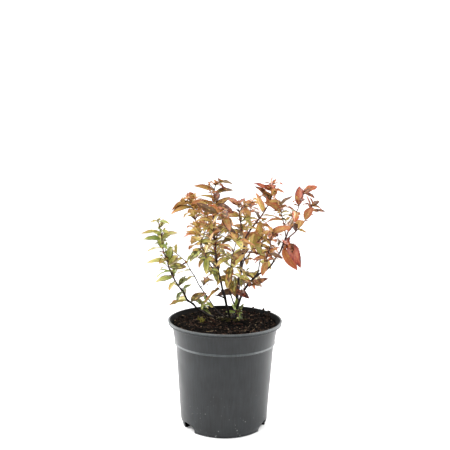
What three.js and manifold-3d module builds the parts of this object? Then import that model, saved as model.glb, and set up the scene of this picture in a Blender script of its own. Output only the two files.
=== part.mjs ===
// A young spirea shrub in its nursery pot, in millimetres, +Z up, front towards -Y.
// The origin is the centre of the pot's flat underside. Pot, soil, bare limbs and leafy
// masses are separate closed solids; each mass grows from its limb by one seeded rule.
import * as THREE from 'three';
import { mergeVertices } from 'three/addons/utils/BufferGeometryUtils.js';
import Module from 'manifold-3d';

const wasm = await Module();
wasm.setup();

// ---- driving dimensions --------------------------------------------------------------

const GAP = 0.3; // air between touching solids

const POT = {
  height: 160,
  lipRadius: 85.5,
  lipDrop: 6, // height of the skirt under the rim
  lipWidth: 5.2, // rim, from the skirt in to the mouth
  footRadius: 62.8,
  heelHeight: 8, // the wall draws in to the foot ring below this
  heelRadius: 65.2,
  collarHeight: 126.8, // where the wider collar begins
  collarStep: 1.2,
  collarRadius: 75,
  neckRadius: 79.2, // wall just under the lip
  wall: 1.3,
  floor: 1.6,
  segments: 36,
  colour: 0x47494b,
};

const DRAIN = { width: 25, height: 12, depth: 20, azimuths: [96, 216, 336] };

const SOIL = { top: 156, edgeTop: 152.5, flatRadius: 60, colour: 0x2e2620 };

const GROUND = SOIL.top + GAP; // the stems' flat cuts
const FLARE = { share: 0.45, reach: 6 }; // swelling of a stem's foot, and its height

const LIMB = { sides: 7, step: 11, air: 1.4 * GAP }; // air cut round a faceted limb
const SPINE = { sides: 4, step: 15 };
const TWIG = { sides: 3, radius: [0.8, 0.5] };
const SPRIG = { radius: [0.9, 0.5], bare: 0.3 }; // bare at its foot, where it leaves the bark

// A leaf: stations along its length with its half width there, and its section.
const LEAF = {
  stations: [0, 0.36, 0.68],
  widths: [0.12, 1, 0.68],
  half: 0.2, // half width, as a share of the length
  fold: 0.3, // how far the edges rise, as a share of the half width
  thick: 0.032, // thickness at the midrib, as a share of the length
};

// Spots on a blade that keep it clear of others: rows along it, and shares of its half width.
const SPOTS = { rows: 9, across: [-1, -0.5, 0, 0.5, 1] };
const CLEAR = { leaf: 2.8, bark: 1.3, soil: 2, rim: 74 };

const BARK = { low: 0x3a2a22, high: 0x6a3b2a };

// Limbs are tapering curves: where each starts, its tip, its compass heading and its lean
// from upright at both ends in degrees, and its radius at both ends. bare is the share that
// shows as a limb; the rest is the stem of the leafy mass at its end, where every is the
// space between leaves, leaf their length, first and turn the angle of the first leaf and
// the step to the next, and large the leaves that stand out.
const LIMBS = [
  {
    name: 'stem_left', foot: [-22, 26], tip: [-98, -30, 313],
    heading: [-158, -144], lean: [62, 8], radius: [2.1, 0.8], bare: 0.27,
    mass: 'leaves_left', colour: 0x9d9a50, seed: 666, twigs: 1,
    every: 9.9, leaf: 27, first: 60, turn: 180,
    large: [
      { at: 0.5, azimuth: 180, opening: 70, length: 30, droop: 0.45, roll: -35 },
      { at: 0.66, azimuth: 185, opening: 65, length: 31, droop: 0.4, roll: -25 },
      { at: 0.84, azimuth: 180, opening: 65, length: 28, droop: 0.4, roll: -35 },
      { at: 0.86, azimuth: 5, opening: 65, length: 27, droop: 0.6, roll: 35 },
    ],
  },
  {
    name: 'stem_left_thin', foot: [-4, 31], tip: [-80, 52, 252],
    heading: [166, 169], lean: [58, 60], radius: [1.5, 0.7], bare: 0.55,
    mass: 'leaves_left_thin', colour: 0xa39d5c, seed: 121, twigs: 0,
    every: 11.6, leaf: 27, first: 100, turn: 137.5,
  },
  {
    name: 'stem_centre', foot: [8, 16], tip: [-17, -14, 365],
    heading: [-139, -131], lean: [21, -10], radius: [2.4, 0.8], bare: 0.42,
    mass: 'leaves_centre_top', colour: 0xb0703f, seed: 898, twigs: 1,
    every: 6.8, leaf: 33, first: 220, turn: 155,
  },
  {
    name: 'bough_centre_left', from: 'stem_centre', at: 0.4, tip: [-54, 36, 338],
    heading: [135, 136], lean: [69, 14], radius: [1.6, 0.8], bare: 0.2,
    mass: 'leaves_centre_left', colour: 0xb87442, seed: 255, twigs: 1,
    every: 5, leaf: 40, first: 110, turn: 180,
    large: [
      { at: 0.88, azimuth: 185, opening: 70, length: 40, droop: 1, roll: -35 },
      { at: 0.55, azimuth: 185, opening: 75, length: 27, droop: 0.5, roll: -30 },
    ],
  },
  {
    name: 'stem_main', foot: [14, 22], tip: [29, 20, 279],
    heading: [-7, -8], lean: [9, 11], radius: [2.9, 1.9], bare: 1,
  },
  {
    name: 'bough_main_upper', from: 'stem_main', at: 1, tip: [66, 34, 360],
    heading: [21, 16], lean: [26, -30], radius: [1.8, 0.8], bare: 0.16,
    mass: 'leaves_main_top', colour: 0xb0623c, seed: 884, twigs: 0,
    every: 8.3, leaf: 40, first: 180, turn: 170,
    large: [
      { at: 0.88, azimuth: 180, opening: 52, length: 33, droop: 0.35, roll: -35 },
    ],
  },
  {
    name: 'bough_main_back', from: 'stem_main', at: 0.7, tip: [58, 70, 278],
    heading: [53, 55], lean: [74, 59], radius: [1.5, 0.8], bare: 0.35,
    mass: 'leaves_main_back', colour: 0x9a7a48, seed: 704, twigs: 0,
    every: 12.1, leaf: 35, first: 260, turn: 170,
  },
  {
    name: 'bough_main_front', from: 'stem_main', at: 0.86, tip: [-12, -44, 323],
    heading: [-124, -118], lean: [51, 81], radius: [1.4, 0.7], bare: 0.2,
    mass: 'leaves_main_front', colour: 0xa07848, seed: 552, twigs: 0,
    every: 9.6, leaf: 43, first: 310, turn: 180,
  },
  {
    name: 'bough_main_inner', from: 'stem_main', at: 0.93, tip: [17, -10, 333],
    heading: [-109, -108], lean: [22, 19], radius: [1.2, 0.7], bare: 0.25,
    mass: 'leaves_main_inner', colour: 0xa86a44, seed: 47, twigs: 0,
    every: 9.4, leaf: 40, first: 20, turn: 170,
  },
  {
    name: 'stem_right', foot: [16, 15], tip: [48, 2, 228],
    heading: [-22, -22], lean: [4, 52], radius: [2.6, 1.9], bare: 1,
  },
  {
    name: 'bough_right', from: 'stem_right', at: 1, tip: [87, -18, 289],
    heading: [-27, -27], lean: [69, 17], radius: [1.8, 1.4], bare: 1,
  },
  {
    name: 'bough_right_top', from: 'bough_right', at: 1, tip: [109, -46, 356],
    heading: [-52, -52], lean: [24, 26], radius: [1.3, 0.7], bare: 0.22,
    mass: 'leaves_right_top', colour: 0xb55a3c, seed: 24, twigs: 0,
    every: 10, leaf: 31, first: 290, turn: 170,
  },
  {
    name: 'bough_right_inner', from: 'bough_right', at: 1, tip: [80, 12, 329],
    heading: [102, 99], lean: [37, 28], radius: [1.1, 0.6], bare: 0.3,
    mass: 'leaves_right_inner', colour: 0xb2603c, seed: 814, twigs: 0,
    every: 7.1, leaf: 40, first: 30, turn: 180,
  },
  {
    name: 'bough_right_outer', from: 'bough_right', at: 0.93, tip: [127, 4, 334],
    heading: [27, 29], lean: [69, 21], radius: [1.2, 0.6], bare: 0.3,
    mass: 'leaves_right_outer', colour: 0xb4643a, seed: 738, twigs: 0,
    every: 8.9, leaf: 33, first: 260, turn: 180,
  },
  {
    name: 'bough_right_back', from: 'stem_right', at: 0.97, tip: [55, 38, 287],
    heading: [67, 87], lean: [50, 31], radius: [1.2, 0.7], bare: 0.3,
    mass: 'leaves_right_back', colour: 0x9c6e42, seed: 363, twigs: 0,
    every: 7.2, leaf: 36, first: 70, turn: 170,
  },
  {
    name: 'bough_front', from: 'stem_main', at: 0.12, tip: [14, -78, 292],
    heading: [-118, -78], lean: [42, 44], radius: [1.6, 0.7], bare: 0.3,
    mass: 'leaves_front', colour: 0x9a8048, seed: 105, twigs: 1,
    every: 9.1, leaf: 39, first: 110, turn: 170,
  },
  {
    name: 'bough_front_left', from: 'stem_centre', at: 0.34, tip: [-38, -62, 287],
    heading: [-110, -112], lean: [60, 42], radius: [1.4, 0.7], bare: 0.25,
    mass: 'leaves_front_left', colour: 0x9a8a4c, seed: 130, twigs: 0,
    every: 11.9, leaf: 29, first: 320, turn: 155,
  },
  {
    name: 'bough_front_right', from: 'bough_right', at: 0.2, tip: [64, -64, 300],
    heading: [-95, -75], lean: [55, 30], radius: [1.3, 0.7], bare: 0.25,
    mass: 'leaves_front_right', colour: 0xa06a44, seed: 110, twigs: 0,
    every: 10, leaf: 30, first: 30, turn: 155,
  },
  {
    name: 'bough_back', from: 'stem_main', at: 0.24, tip: [40, 92, 322],
    heading: [75, 70], lean: [40, 28], radius: [1.7, 0.7], bare: 0.3,
    mass: 'leaves_back', colour: 0xa87040, seed: 77, twigs: 1,
    every: 10.2, leaf: 37, first: 240, turn: 180,
  },
  {
    name: 'bough_back_left', from: 'stem_centre', at: 0.2, tip: [-32, 84, 306],
    heading: [105, 110], lean: [45, 35], radius: [1.6, 0.7], bare: 0.3,
    mass: 'leaves_back_left', colour: 0xa67a44, seed: 430, twigs: 1,
    every: 7.6, leaf: 34, first: 280, turn: 155,
  },
  {
    name: 'twig_cut', from: 'stem_centre', at: 0.17, reach: 15,
    heading: [178, 178], lean: [72, 82], radius: [1.5, 1.3], bare: 1,
  },
];

// Short leafy sprigs on the sides of limbs, whose stems start in the bark; reach is a
// sprig's length.
const SPRIGS = [
  {
    from: 'stem_left', at: 0.2, reach: 12, heading: [185, 185], lean: [60, 45],
    mass: 'leaves_left_low', colour: 0x9aa052, seed: 229, twigs: 0,
    every: 4.3, leaf: 37, first: 0, turn: 137.5,
  },
  {
    from: 'stem_left', at: 0.1, reach: 12, heading: [60, 60], lean: [25, 10],
    mass: 'leaves_left_foot', colour: 0xa0ac3e, seed: 602, twigs: 0,
    every: 4.3, leaf: 33, first: 310, turn: 180,
  },
  {
    from: 'stem_left_thin', at: 0.45, reach: 10, heading: [10, 10], lean: [50, 35],
    mass: 'leaves_thin_low', colour: 0x8f8a4a, seed: 532, twigs: 0,
    every: 4.5, leaf: 23, first: 140, turn: 137.5,
  },
  {
    from: 'stem_centre', at: 0.22, reach: 14, heading: [180, 180], lean: [50, 35],
    mass: 'leaves_centre_low', colour: 0x8f9450, seed: 702, twigs: 0,
    every: 5.9, leaf: 32, first: 230, turn: 170,
  },
  {
    from: 'stem_centre', at: 0.33, reach: 14, heading: [190, 190], lean: [60, 45],
    mass: 'leaves_centre_mid', colour: 0x97904c, seed: 448, twigs: 0,
    every: 4.9, leaf: 27, first: 60, turn: 170,
  },
  {
    from: 'stem_main', at: 0.28, reach: 16, heading: [-110, -110], lean: [50, 35],
    mass: 'leaves_main_low', colour: 0x9a7a42, seed: 142, twigs: 0,
    every: 5.7, leaf: 29, first: 180, turn: 170,
  },
  {
    from: 'stem_main', at: 0.5, reach: 14, heading: [0, 0], lean: [60, 45],
    mass: 'leaves_main_mid', colour: 0x8c8c48, seed: 33, twigs: 0,
    every: 4.3, leaf: 40, first: 250, turn: 180,
  },
  {
    from: 'stem_main', at: 0.8, reach: 14, heading: [-60, -60], lean: [60, 45],
    mass: 'leaves_main_high', colour: 0x9c7444, seed: 481, twigs: 0,
    every: 5.6, leaf: 25, first: 190, turn: 170,
  },
  {
    from: 'stem_right', at: 0.72, reach: 12, heading: [-60, -60], lean: [70, 55],
    mass: 'leaves_right_low', colour: 0x8a8546, seed: 873, twigs: 0,
    every: 4.5, leaf: 28, first: 10, turn: 170,
  },
  {
    from: 'bough_right', at: 0.45, reach: 16, heading: [200, 200], lean: [30, 15],
    mass: 'leaves_right_mid', colour: 0xa08840, seed: 209, twigs: 0,
    every: 5, leaf: 30, first: 130, turn: 170,
  },
  {
    from: 'bough_right', at: 0.78, reach: 10, heading: [-40, -40], lean: [60, 45],
    mass: 'leaves_right_large', colour: 0xb0492e, seed: 302, twigs: 0,
    every: 5.6, leaf: 37, first: 40, turn: 180,
    large: [
      { at: 0.6, azimuth: -20, opening: 80, length: 52, droop: 2.2, roll: 60 },
      { at: 0.9, azimuth: -30, opening: 110, length: 46, droop: 1.6, roll: 40 },
    ],
  },
  {
    from: 'bough_right', at: 0.85, reach: 10, heading: [180, 180], lean: [50, 35],
    mass: 'leaves_right_small', colour: 0xa06040, seed: 262, twigs: 0,
    every: 6.5, leaf: 16, first: 280, turn: 180,
  },
  {
    from: 'stem_right', at: 0.12, reach: 12, heading: [-75, -75], lean: [72, 60],
    mass: 'leaves_foot', colour: 0x7fa03a, seed: 875, twigs: 0,
    every: 2.7, leaf: 12, first: 300, turn: 170,
  },
];

// ---- curves and closed skins ---------------------------------------------------------

function direction(heading, lean) {
  const h = THREE.MathUtils.degToRad(heading);
  const l = THREE.MathUtils.degToRad(lean);
  return new THREE.Vector3(Math.sin(l) * Math.cos(h), Math.sin(l) * Math.sin(h), Math.cos(l));
}

function limbCurve(start, tip, heading, lean) {
  const third = start.distanceTo(tip) / 3;
  const first = start.clone().addScaledVector(direction(heading[0], lean[0]), third);
  const last = tip.clone().addScaledVector(direction(heading[1], lean[1]), -third);
  return new THREE.CubicBezierCurve3(start, first, last, tip);
}

// A closed skin over rings of points, which run counter-clockwise as seen from the far
// end. A ring of one point is a tip.
function loft(rings) {
  const starts = [];
  let count = 0;
  for (const ring of rings) {
    starts.push(count);
    count += ring.length;
  }
  const index = [];
  for (let i = 1; i < rings.length; i += 1) {
    const near = rings[i - 1].length;
    const far = rings[i].length;
    for (let j = 0; j < Math.max(near, far); j += 1) {
      const a0 = starts[i - 1] + (j % near);
      const a1 = starts[i - 1] + ((j + 1) % near);
      const b0 = starts[i] + (j % far);
      const b1 = starts[i] + ((j + 1) % far);
      if (near > 1) index.push(a0, a1, b1);
      if (far > 1) index.push(a0, b1, b0);
    }
  }
  const end = starts.at(-1);
  for (let j = 1; j + 1 < rings[0].length; j += 1) index.push(0, j + 1, j);
  for (let j = 1; j + 1 < rings.at(-1).length; j += 1) index.push(end, end + j, end + j + 1);
  const geometry = new THREE.BufferGeometry().setFromPoints(rings.flat());
  geometry.setIndex(index);
  return geometry;
}

// Rings of a round limb: centres and the radius at each.
function roundRings(centres, radii, sides) {
  const start = centres[1].clone().sub(centres[0]).normalize();
  const side = new THREE.Vector3(1, 0, 0);
  if (Math.abs(start.x) > 0.9) side.set(0, 0, 1);
  return centres.map((centre, i) => {
    const before = centres[Math.max(i - 1, 0)];
    const after = centres[Math.min(i + 1, centres.length - 1)];
    const along = after.clone().sub(before).normalize();
    side.addScaledVector(along, -side.dot(along)).normalize();
    const other = along.clone().cross(side);
    return Array.from({ length: sides }, (_, j) => {
      const angle = (2 * Math.PI * j) / sides;
      return centre.clone()
        .addScaledVector(side, radii[i] * Math.cos(angle))
        .addScaledVector(other, radii[i] * Math.sin(angle));
    });
  });
}

function solid(geometry) {
  const bare = geometry.clone();
  bare.deleteAttribute('normal');
  bare.deleteAttribute('uv');
  const merged = mergeVertices(bare);
  const corners = merged.index.array;
  const triangles = [];
  for (let i = 0; i < corners.length; i += 3) {
    const [a, b, c] = corners.slice(i, i + 3);
    if (a !== b && b !== c && c !== a) triangles.push(a, b, c);
  }
  return new wasm.Manifold(new wasm.Mesh({
    numProp: 3,
    vertProperties: new Float32Array(merged.attributes.position.array),
    triVerts: new Uint32Array(triangles),
  }));
}

// The largest closed body: loose scraps and sealed hollows go.
function whole(body) {
  const pieces = body.decompose();
  return pieces.reduce((best, piece) => (piece.volume() > best.volume() ? piece : best));
}

function meshOf(name, body, colour, roughness) {
  const { vertProperties, triVerts } = whole(body).getMesh();
  const geometry = new THREE.BufferGeometry();
  geometry.setAttribute('position', new THREE.BufferAttribute(vertProperties, 3));
  geometry.setIndex(new THREE.BufferAttribute(triVerts, 1));
  geometry.computeVertexNormals();
  const material = new THREE.MeshStandardMaterial({ color: colour, roughness, metalness: 0 });
  const mesh = new THREE.Mesh(geometry, material);
  mesh.name = name;
  return mesh;
}

function turned(profile) {
  const points = profile.map(([radius, height]) => new THREE.Vector2(radius, height));
  return solid(new THREE.LatheGeometry(points, POT.segments).rotateX(Math.PI / 2));
}

// ---- pot and soil --------------------------------------------------------------------

// Radius of the pot's inner wall below the collar.
function innerRadius(height) {
  const share = (height - POT.heelHeight) / (POT.collarHeight - POT.heelHeight);
  const top = POT.collarRadius - POT.collarStep;
  return POT.heelRadius + (top - POT.heelRadius) * share - POT.wall;
}

function potBody() {
  const { height, lipRadius, lipWidth, lipDrop, collarHeight, collarRadius, wall } = POT;
  const mouth = lipRadius - lipWidth;
  const neck = height - lipDrop;
  const round = 0.7;
  return turned([
    [0, 0],
    [POT.footRadius, 0],
    [POT.heelRadius, POT.heelHeight],
    [collarRadius - POT.collarStep, collarHeight],
    [collarRadius, collarHeight],
    [collarRadius + 0.1, collarHeight + 2],
    [POT.neckRadius, neck],
    [mouth + wall, height - wall],
    [lipRadius - wall, height - wall],
    [lipRadius - wall, neck],
    [lipRadius, neck],
    [lipRadius, height - round],
    [lipRadius - round, height],
    [mouth + round, height],
    [mouth, height - round],
    [POT.neckRadius - wall, neck - 1],
    [innerRadius(collarHeight), collarHeight - 1],
    [innerRadius(POT.heelHeight), POT.heelHeight],
    [POT.footRadius - wall, POT.floor],
    [0, POT.floor],
  ]);
}

// A drain hole: an arch through the pot's bottom corner, run along X from the middle.
function drainBody(azimuth) {
  const { width, height, depth } = DRAIN;
  const spring = height / 2;
  const arch = new THREE.Shape();
  arch.moveTo(-width / 2, -1);
  arch.lineTo(width / 2, -1);
  arch.absellipse(0, spring, width / 2, height - spring, 0, Math.PI, false);
  arch.closePath();
  const cut = new THREE.ExtrudeGeometry(arch, { depth, bevelEnabled: false, curveSegments: 8 });
  cut.rotateX(Math.PI / 2).rotateZ(Math.PI / 2).translate(POT.footRadius - depth / 3, 0, 0);
  return solid(cut.rotateZ(THREE.MathUtils.degToRad(azimuth)));
}

function soilBody() {
  const floor = POT.floor + GAP;
  const upper = POT.collarRadius - POT.wall;
  const slope = (POT.neckRadius - POT.collarRadius) / (POT.height - POT.lipDrop - POT.collarHeight);
  const edge = upper + slope * (SOIL.edgeTop - POT.collarHeight) - 2 * GAP;
  return turned([
    [0, floor],
    [POT.footRadius - POT.wall - GAP, floor],
    [innerRadius(POT.heelHeight) - 1.5 * GAP, POT.heelHeight],
    [innerRadius(POT.collarHeight) - 1.5 * GAP, POT.collarHeight - 2],
    [edge, SOIL.edgeTop],
    [SOIL.flatRadius, SOIL.top],
    [0, SOIL.top],
  ]);
}

// ---- limbs ---------------------------------------------------------------------------

const limbs = new Map();

function radiusAt(limb, share) {
  return limb.radius[0] + (limb.radius[1] - limb.radius[0]) * share;
}

// A limb starts at its foot in the ground, or on the axis of the limb that it leaves.
function placeLimb(limb) {
  const parent = limbs.get(limb.from);
  const start = parent
    ? parent.curve.getPointAt(limb.at)
    : new THREE.Vector3(...limb.foot, GROUND);
  const tip = limb.tip
    ? new THREE.Vector3(...limb.tip)
    : start.clone().addScaledVector(direction(limb.heading[0], limb.lean[0]), limb.reach);
  return { ...limb, curve: limbCurve(start, tip, limb.heading, limb.lean) };
}

// The limb's solid between two shares of its length, swollen by extra all round and at its
// end. One with a foot is carried on into the ground, to be cut level there.
function limbTube(limb, from, to, { sides, step }, extra = 0) {
  const { curve } = limb;
  const count = Math.max(2, Math.ceil(((to - from) * curve.getLength()) / step));
  const shares = Array.from({ length: count + 1 }, (_, i) => from + ((to - from) * i) / count);
  const centres = shares.map((share) => curve.getPointAt(share));
  const radii = shares.map((share) => radiusAt(limb, share) + extra);
  if (limb.foot && from === 0) {
    const down = curve.getTangentAt(0).multiplyScalar(-2 * FLARE.reach);
    const swollen = radii[0] + FLARE.share * radiusAt(limb, 0);
    centres.splice(1, 0, curve.getPointAt(FLARE.reach / curve.getLength()));
    radii.splice(1, 0, radii[0]);
    centres.unshift(centres[0].clone().add(down));
    radii.splice(0, 1, swollen, swollen);
  }
  if (extra > 0) {
    centres.push(centres.at(-1).clone().addScaledVector(curve.getTangentAt(to), extra));
    radii.push(radii.at(-1));
  }
  return solid(loft(roundRings(centres, radii, sides)));
}

function underground() {
  const depth = 60;
  const block = new THREE.BoxGeometry(2 * POT.lipRadius, 2 * POT.lipRadius, depth);
  return solid(block.translate(0, 0, GROUND - depth / 2));
}

function barkColour(limb) {
  const thin = 1 - radiusAt(limb, 0) / 3;
  return new THREE.Color(BARK.low).lerp(new THREE.Color(BARK.high), thin);
}

// A limb up to a share of its length, with the air that its neighbours leave round it.
const hulls = new Map();
function hull(limb, to) {
  const key = `${limb.name} ${to}`;
  if (!hulls.has(key)) hulls.set(key, limbTube(limb, 0, to, LIMB, LIMB.air));
  return hulls.get(key);
}

// The bare part of a limb, clear of the limbs before it.
function limbMesh(limb) {
  let body = limbTube(limb, 0, limb.bare, LIMB);
  if (limb.foot) body = body.subtract(underground());
  for (const other of limbs.values()) {
    if (other === limb) break;
    body = body.subtract(hull(other, 1));
  }
  return meshOf(limb.name, body, barkColour(limb), 0.8);
}

// ---- leaves --------------------------------------------------------------------------

function seeded(seed) {
  const modulus = 2147483647;
  let state = (seed * 7919 + 12345) % modulus;
  const draw = () => {
    state = (state * 48271) % modulus;
    return state / modulus;
  };
  for (let i = 0; i < 3; i += 1) draw();
  return draw;
}

// A leaf from a twig at base, which runs along: it opens away from the twig, then droops.
function makeLeaf(base, along, { azimuth, opening, length, droop, roll }) {
  const u = new THREE.Vector3(1, 0, 0);
  u.addScaledVector(along, -along.x).normalize();
  const v = along.clone().cross(u);
  const a = THREE.MathUtils.degToRad(azimuth);
  const o = THREE.MathUtils.degToRad(opening);
  const out = u.multiplyScalar(Math.cos(a)).addScaledVector(v, Math.sin(a));
  const rise = along.clone().multiplyScalar(Math.cos(o)).addScaledVector(out, Math.sin(o));
  const fall = rise.clone().setZ(rise.z - droop).normalize();
  const middle = base.clone().addScaledVector(rise, length / 2);
  const up = along.clone().setZ(along.z + 1);
  const side = rise.clone().cross(up).normalize();
  side.applyAxisAngle(rise, THREE.MathUtils.degToRad(roll));
  const rib = new THREE.QuadraticBezierCurve3(
    base, middle, middle.clone().addScaledVector(fall, length / 2),
  );
  return { rib, side, length };
}

// Half width of a blade at a share of its length, as a share of the widest.
function widthAt(share) {
  const { stations, widths } = LEAF;
  const next = stations.findIndex((station) => station > share);
  if (next < 0) return (widths.at(-1) * (1 - share)) / (1 - stations.at(-1));
  const part = (share - stations[next - 1]) / (stations[next] - stations[next - 1]);
  return THREE.MathUtils.lerp(widths[next - 1], widths[next], part);
}

// Points across a leaf at a share of its length: left edge, midrib, right edge and the
// blade's upward normal.
function leafSection(leaf, share, width) {
  const rib = leaf.rib.getPoint(share);
  const normal = leaf.side.clone().cross(leaf.rib.getTangent(share)).normalize();
  const half = leaf.length * LEAF.half * width;
  const edge = (sign) => rib.clone()
    .addScaledVector(leaf.side, sign * half)
    .addScaledVector(normal, LEAF.fold * half);
  return { left: edge(1), rib, right: edge(-1), normal };
}

function leafBody(leaf) {
  const thick = leaf.length * LEAF.thick;
  const rings = LEAF.stations.map((share, i) => {
    const { left, rib, right, normal } = leafSection(leaf, share, LEAF.widths[i]);
    const below = rib.clone().addScaledVector(normal, -thick / 2);
    const above = rib.clone().addScaledVector(normal, thick / 2);
    return [left, below, right, above];
  });
  return solid(loft([...rings, [leaf.rib.getPoint(1)]]));
}

function leafSpots(leaf) {
  const shares = Array.from({ length: SPOTS.rows }, (_, i) => (i + 1) / SPOTS.rows);
  return shares.flatMap((share) => {
    const { left, rib, right } = leafSection(leaf, share, widthAt(share));
    return SPOTS.across.map((a) => rib.clone().lerp(a < 0 ? left : right, Math.abs(a)));
  });
}

// ---- the rule of growth --------------------------------------------------------------

// A side twig that leaves the stem with three small leaves.
function sideTwig(mass, base, along, azimuth, draw) {
  const reach = mass.leaf * (0.8 + 0.5 * draw());
  const twig = makeLeaf(base, along, { azimuth, opening: 48, length: reach, droop: 0.1, roll: 0 });
  const tip = twig.rib.v2;
  const heading = tip.clone().sub(base).normalize();
  const leaves = [0, 1, 2].map((j) => {
    const foot = base.clone().lerp(tip, 0.5 + 0.25 * j);
    const around = 360 * draw();
    const length = mass.leaf * (0.75 - 0.12 * j) * (1 + 0.3 * (draw() - 0.5));
    const roll = 60 * (draw() - 0.5);
    return makeLeaf(foot, heading, { azimuth: around, opening: 50, length, droop: 0.6, roll });
  });
  return { twig: [base, tip], leaves };
}

// Sprigs along a mass's stem from its foot up, each a leaf or a side twig with its leaves.
function growth(mass) {
  const draw = seeded(mass.seed);
  const spread = () => draw() - 0.5;
  const { curve, bare } = mass;
  const count = Math.max(2, Math.round((curve.getLength() * (1 - bare)) / mass.every));
  const twigs = Array.from({ length: mass.twigs }, (_, i) => (
    Math.round(((i + 0.5) * count) / (mass.twigs + 1))
  ));
  const sprigs = [];
  for (let k = 0; k < count; k += 1) {
    const u = (k + 0.6) / count;
    const share = bare + (1 - bare) * u;
    const base = curve.getPointAt(share);
    const along = curve.getTangentAt(share);
    const azimuth = mass.first + mass.turn * k + 44 * spread();
    const opening = 64 - 8 * u + 24 * spread();
    const swell = 0.86 + 0.3 * Math.sin(Math.PI * Math.min(1, u * 1.1));
    const length = mass.leaf * swell * (1 + 0.3 * spread());
    const droop = 0.95 - 0.4 * u + 0.7 * spread();
    const roll = 90 * spread();
    sprigs.push({ leaves: [makeLeaf(base, along, { azimuth, opening, length, droop, roll })] });
    if (twigs.includes(k)) sprigs.push(sideTwig(mass, base, along, azimuth + 40, draw));
  }
  for (const { at, ...leaf } of mass.large ?? []) {
    sprigs.push({ leaves: [makeLeaf(curve.getPointAt(at), curve.getTangentAt(at), leaf)] });
  }
  return sprigs;
}

// Points already taken: on the bark of limbs and on the leaves of masses.
const taken = [];

function takeBark(limb) {
  const steps = Math.ceil(limb.curve.getLength() / 3);
  for (let i = 0; i <= steps; i += 1) {
    const share = i / steps;
    const owner = share > limb.bare ? limb.mass : limb.name;
    const reach = radiusAt(limb, share) + CLEAR.bark;
    taken.push({ point: limb.curve.getPointAt(share), owner, reach });
  }
}

function isFree(point, mass) {
  const { x, y, z } = point;
  if (z < SOIL.top + CLEAR.soil) return false;
  if (z < POT.height + CLEAR.soil && Math.hypot(x, y) > CLEAR.rim) return false;
  return taken.every(({ point: other, owner, reach }) => (
    owner === mass.mass || point.distanceTo(other) > reach
  ));
}

// The sprigs of a mass that touch no limb and no other mass.
function grow(mass) {
  const kept = growth(mass).filter(({ twig, leaves }) => {
    const spots = leaves.flatMap(leafSpots);
    if (twig) spots.push(twig[0].clone().lerp(twig[1], 0.5), twig[1]);
    return spots.every((spot) => isFree(spot, mass));
  });
  for (const point of kept.flatMap(({ leaves }) => leaves).flatMap(leafSpots)) {
    taken.push({ point, owner: mass.mass, reach: CLEAR.leaf });
  }
  return kept;
}

function massMesh(mass) {
  const { curve, bare } = mass;
  const own = mass.name !== mass.mass; // a mass at the end of a bare limb of its own
  const from = own ? bare + GAP / curve.getLength() : 0;
  let body = limbTube({ ...mass, foot: null }, from, 1, SPINE);
  for (const { twig, leaves } of grow(mass)) {
    if (twig) body = body.add(solid(loft(roundRings(twig, TWIG.radius, TWIG.sides))));
    for (const leaf of leaves) body = body.add(leafBody(leaf));
  }
  for (const other of limbs.values()) {
    if (other.mass !== mass.mass) body = body.subtract(hull(other, 1));
  }
  if (own) body = body.subtract(hull(mass, bare));
  return meshOf(mass.mass, body, mass.colour, 0.7);
}

// ---- the shrub -----------------------------------------------------------------------

for (const row of LIMBS) limbs.set(row.name, placeLimb(row));
for (const row of SPRIGS) limbs.set(row.mass, placeLimb({ ...SPRIG, ...row, name: row.mass }));
for (const limb of limbs.values()) takeBark(limb);

const shrub = new THREE.Group();
const pot = DRAIN.azimuths.reduce((body, angle) => body.subtract(drainBody(angle)), potBody());
shrub.add(meshOf('pot', pot, POT.colour, 0.5));
shrub.add(meshOf('soil', soilBody(), SOIL.colour, 1));
for (const limb of limbs.values()) {
  if (limb.name !== limb.mass) shrub.add(limbMesh(limb));
}
for (const limb of limbs.values()) {
  if (limb.mass) shrub.add(massMesh(limb));
}

export default shrub;
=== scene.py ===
"""The look of a young potted spirea shrub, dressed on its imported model.

Lengths are in millimetres until a mesh is made, and in metres on the stage and in textures.
The frame is the model's own, with +Z up and the front towards -Y. Stems, leaves and their
finer twigs grow by the model's own rule.
"""
import math
from collections import namedtuple

import bpy
import numpy as np
from mathutils import Matrix, Vector, noise


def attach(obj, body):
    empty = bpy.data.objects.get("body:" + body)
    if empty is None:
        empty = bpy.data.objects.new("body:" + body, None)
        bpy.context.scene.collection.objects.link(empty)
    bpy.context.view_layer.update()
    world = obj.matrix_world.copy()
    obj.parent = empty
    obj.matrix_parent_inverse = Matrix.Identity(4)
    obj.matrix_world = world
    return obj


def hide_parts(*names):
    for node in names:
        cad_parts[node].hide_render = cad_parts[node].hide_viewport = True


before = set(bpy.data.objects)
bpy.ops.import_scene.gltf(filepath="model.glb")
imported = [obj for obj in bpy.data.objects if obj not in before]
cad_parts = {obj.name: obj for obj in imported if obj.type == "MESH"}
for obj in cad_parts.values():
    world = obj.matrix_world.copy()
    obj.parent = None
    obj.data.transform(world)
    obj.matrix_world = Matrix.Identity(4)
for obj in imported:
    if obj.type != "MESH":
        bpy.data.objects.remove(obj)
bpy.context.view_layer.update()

MM = 0.001

# ---- sizes shared with the model ---------------------------------------------------------

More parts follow.
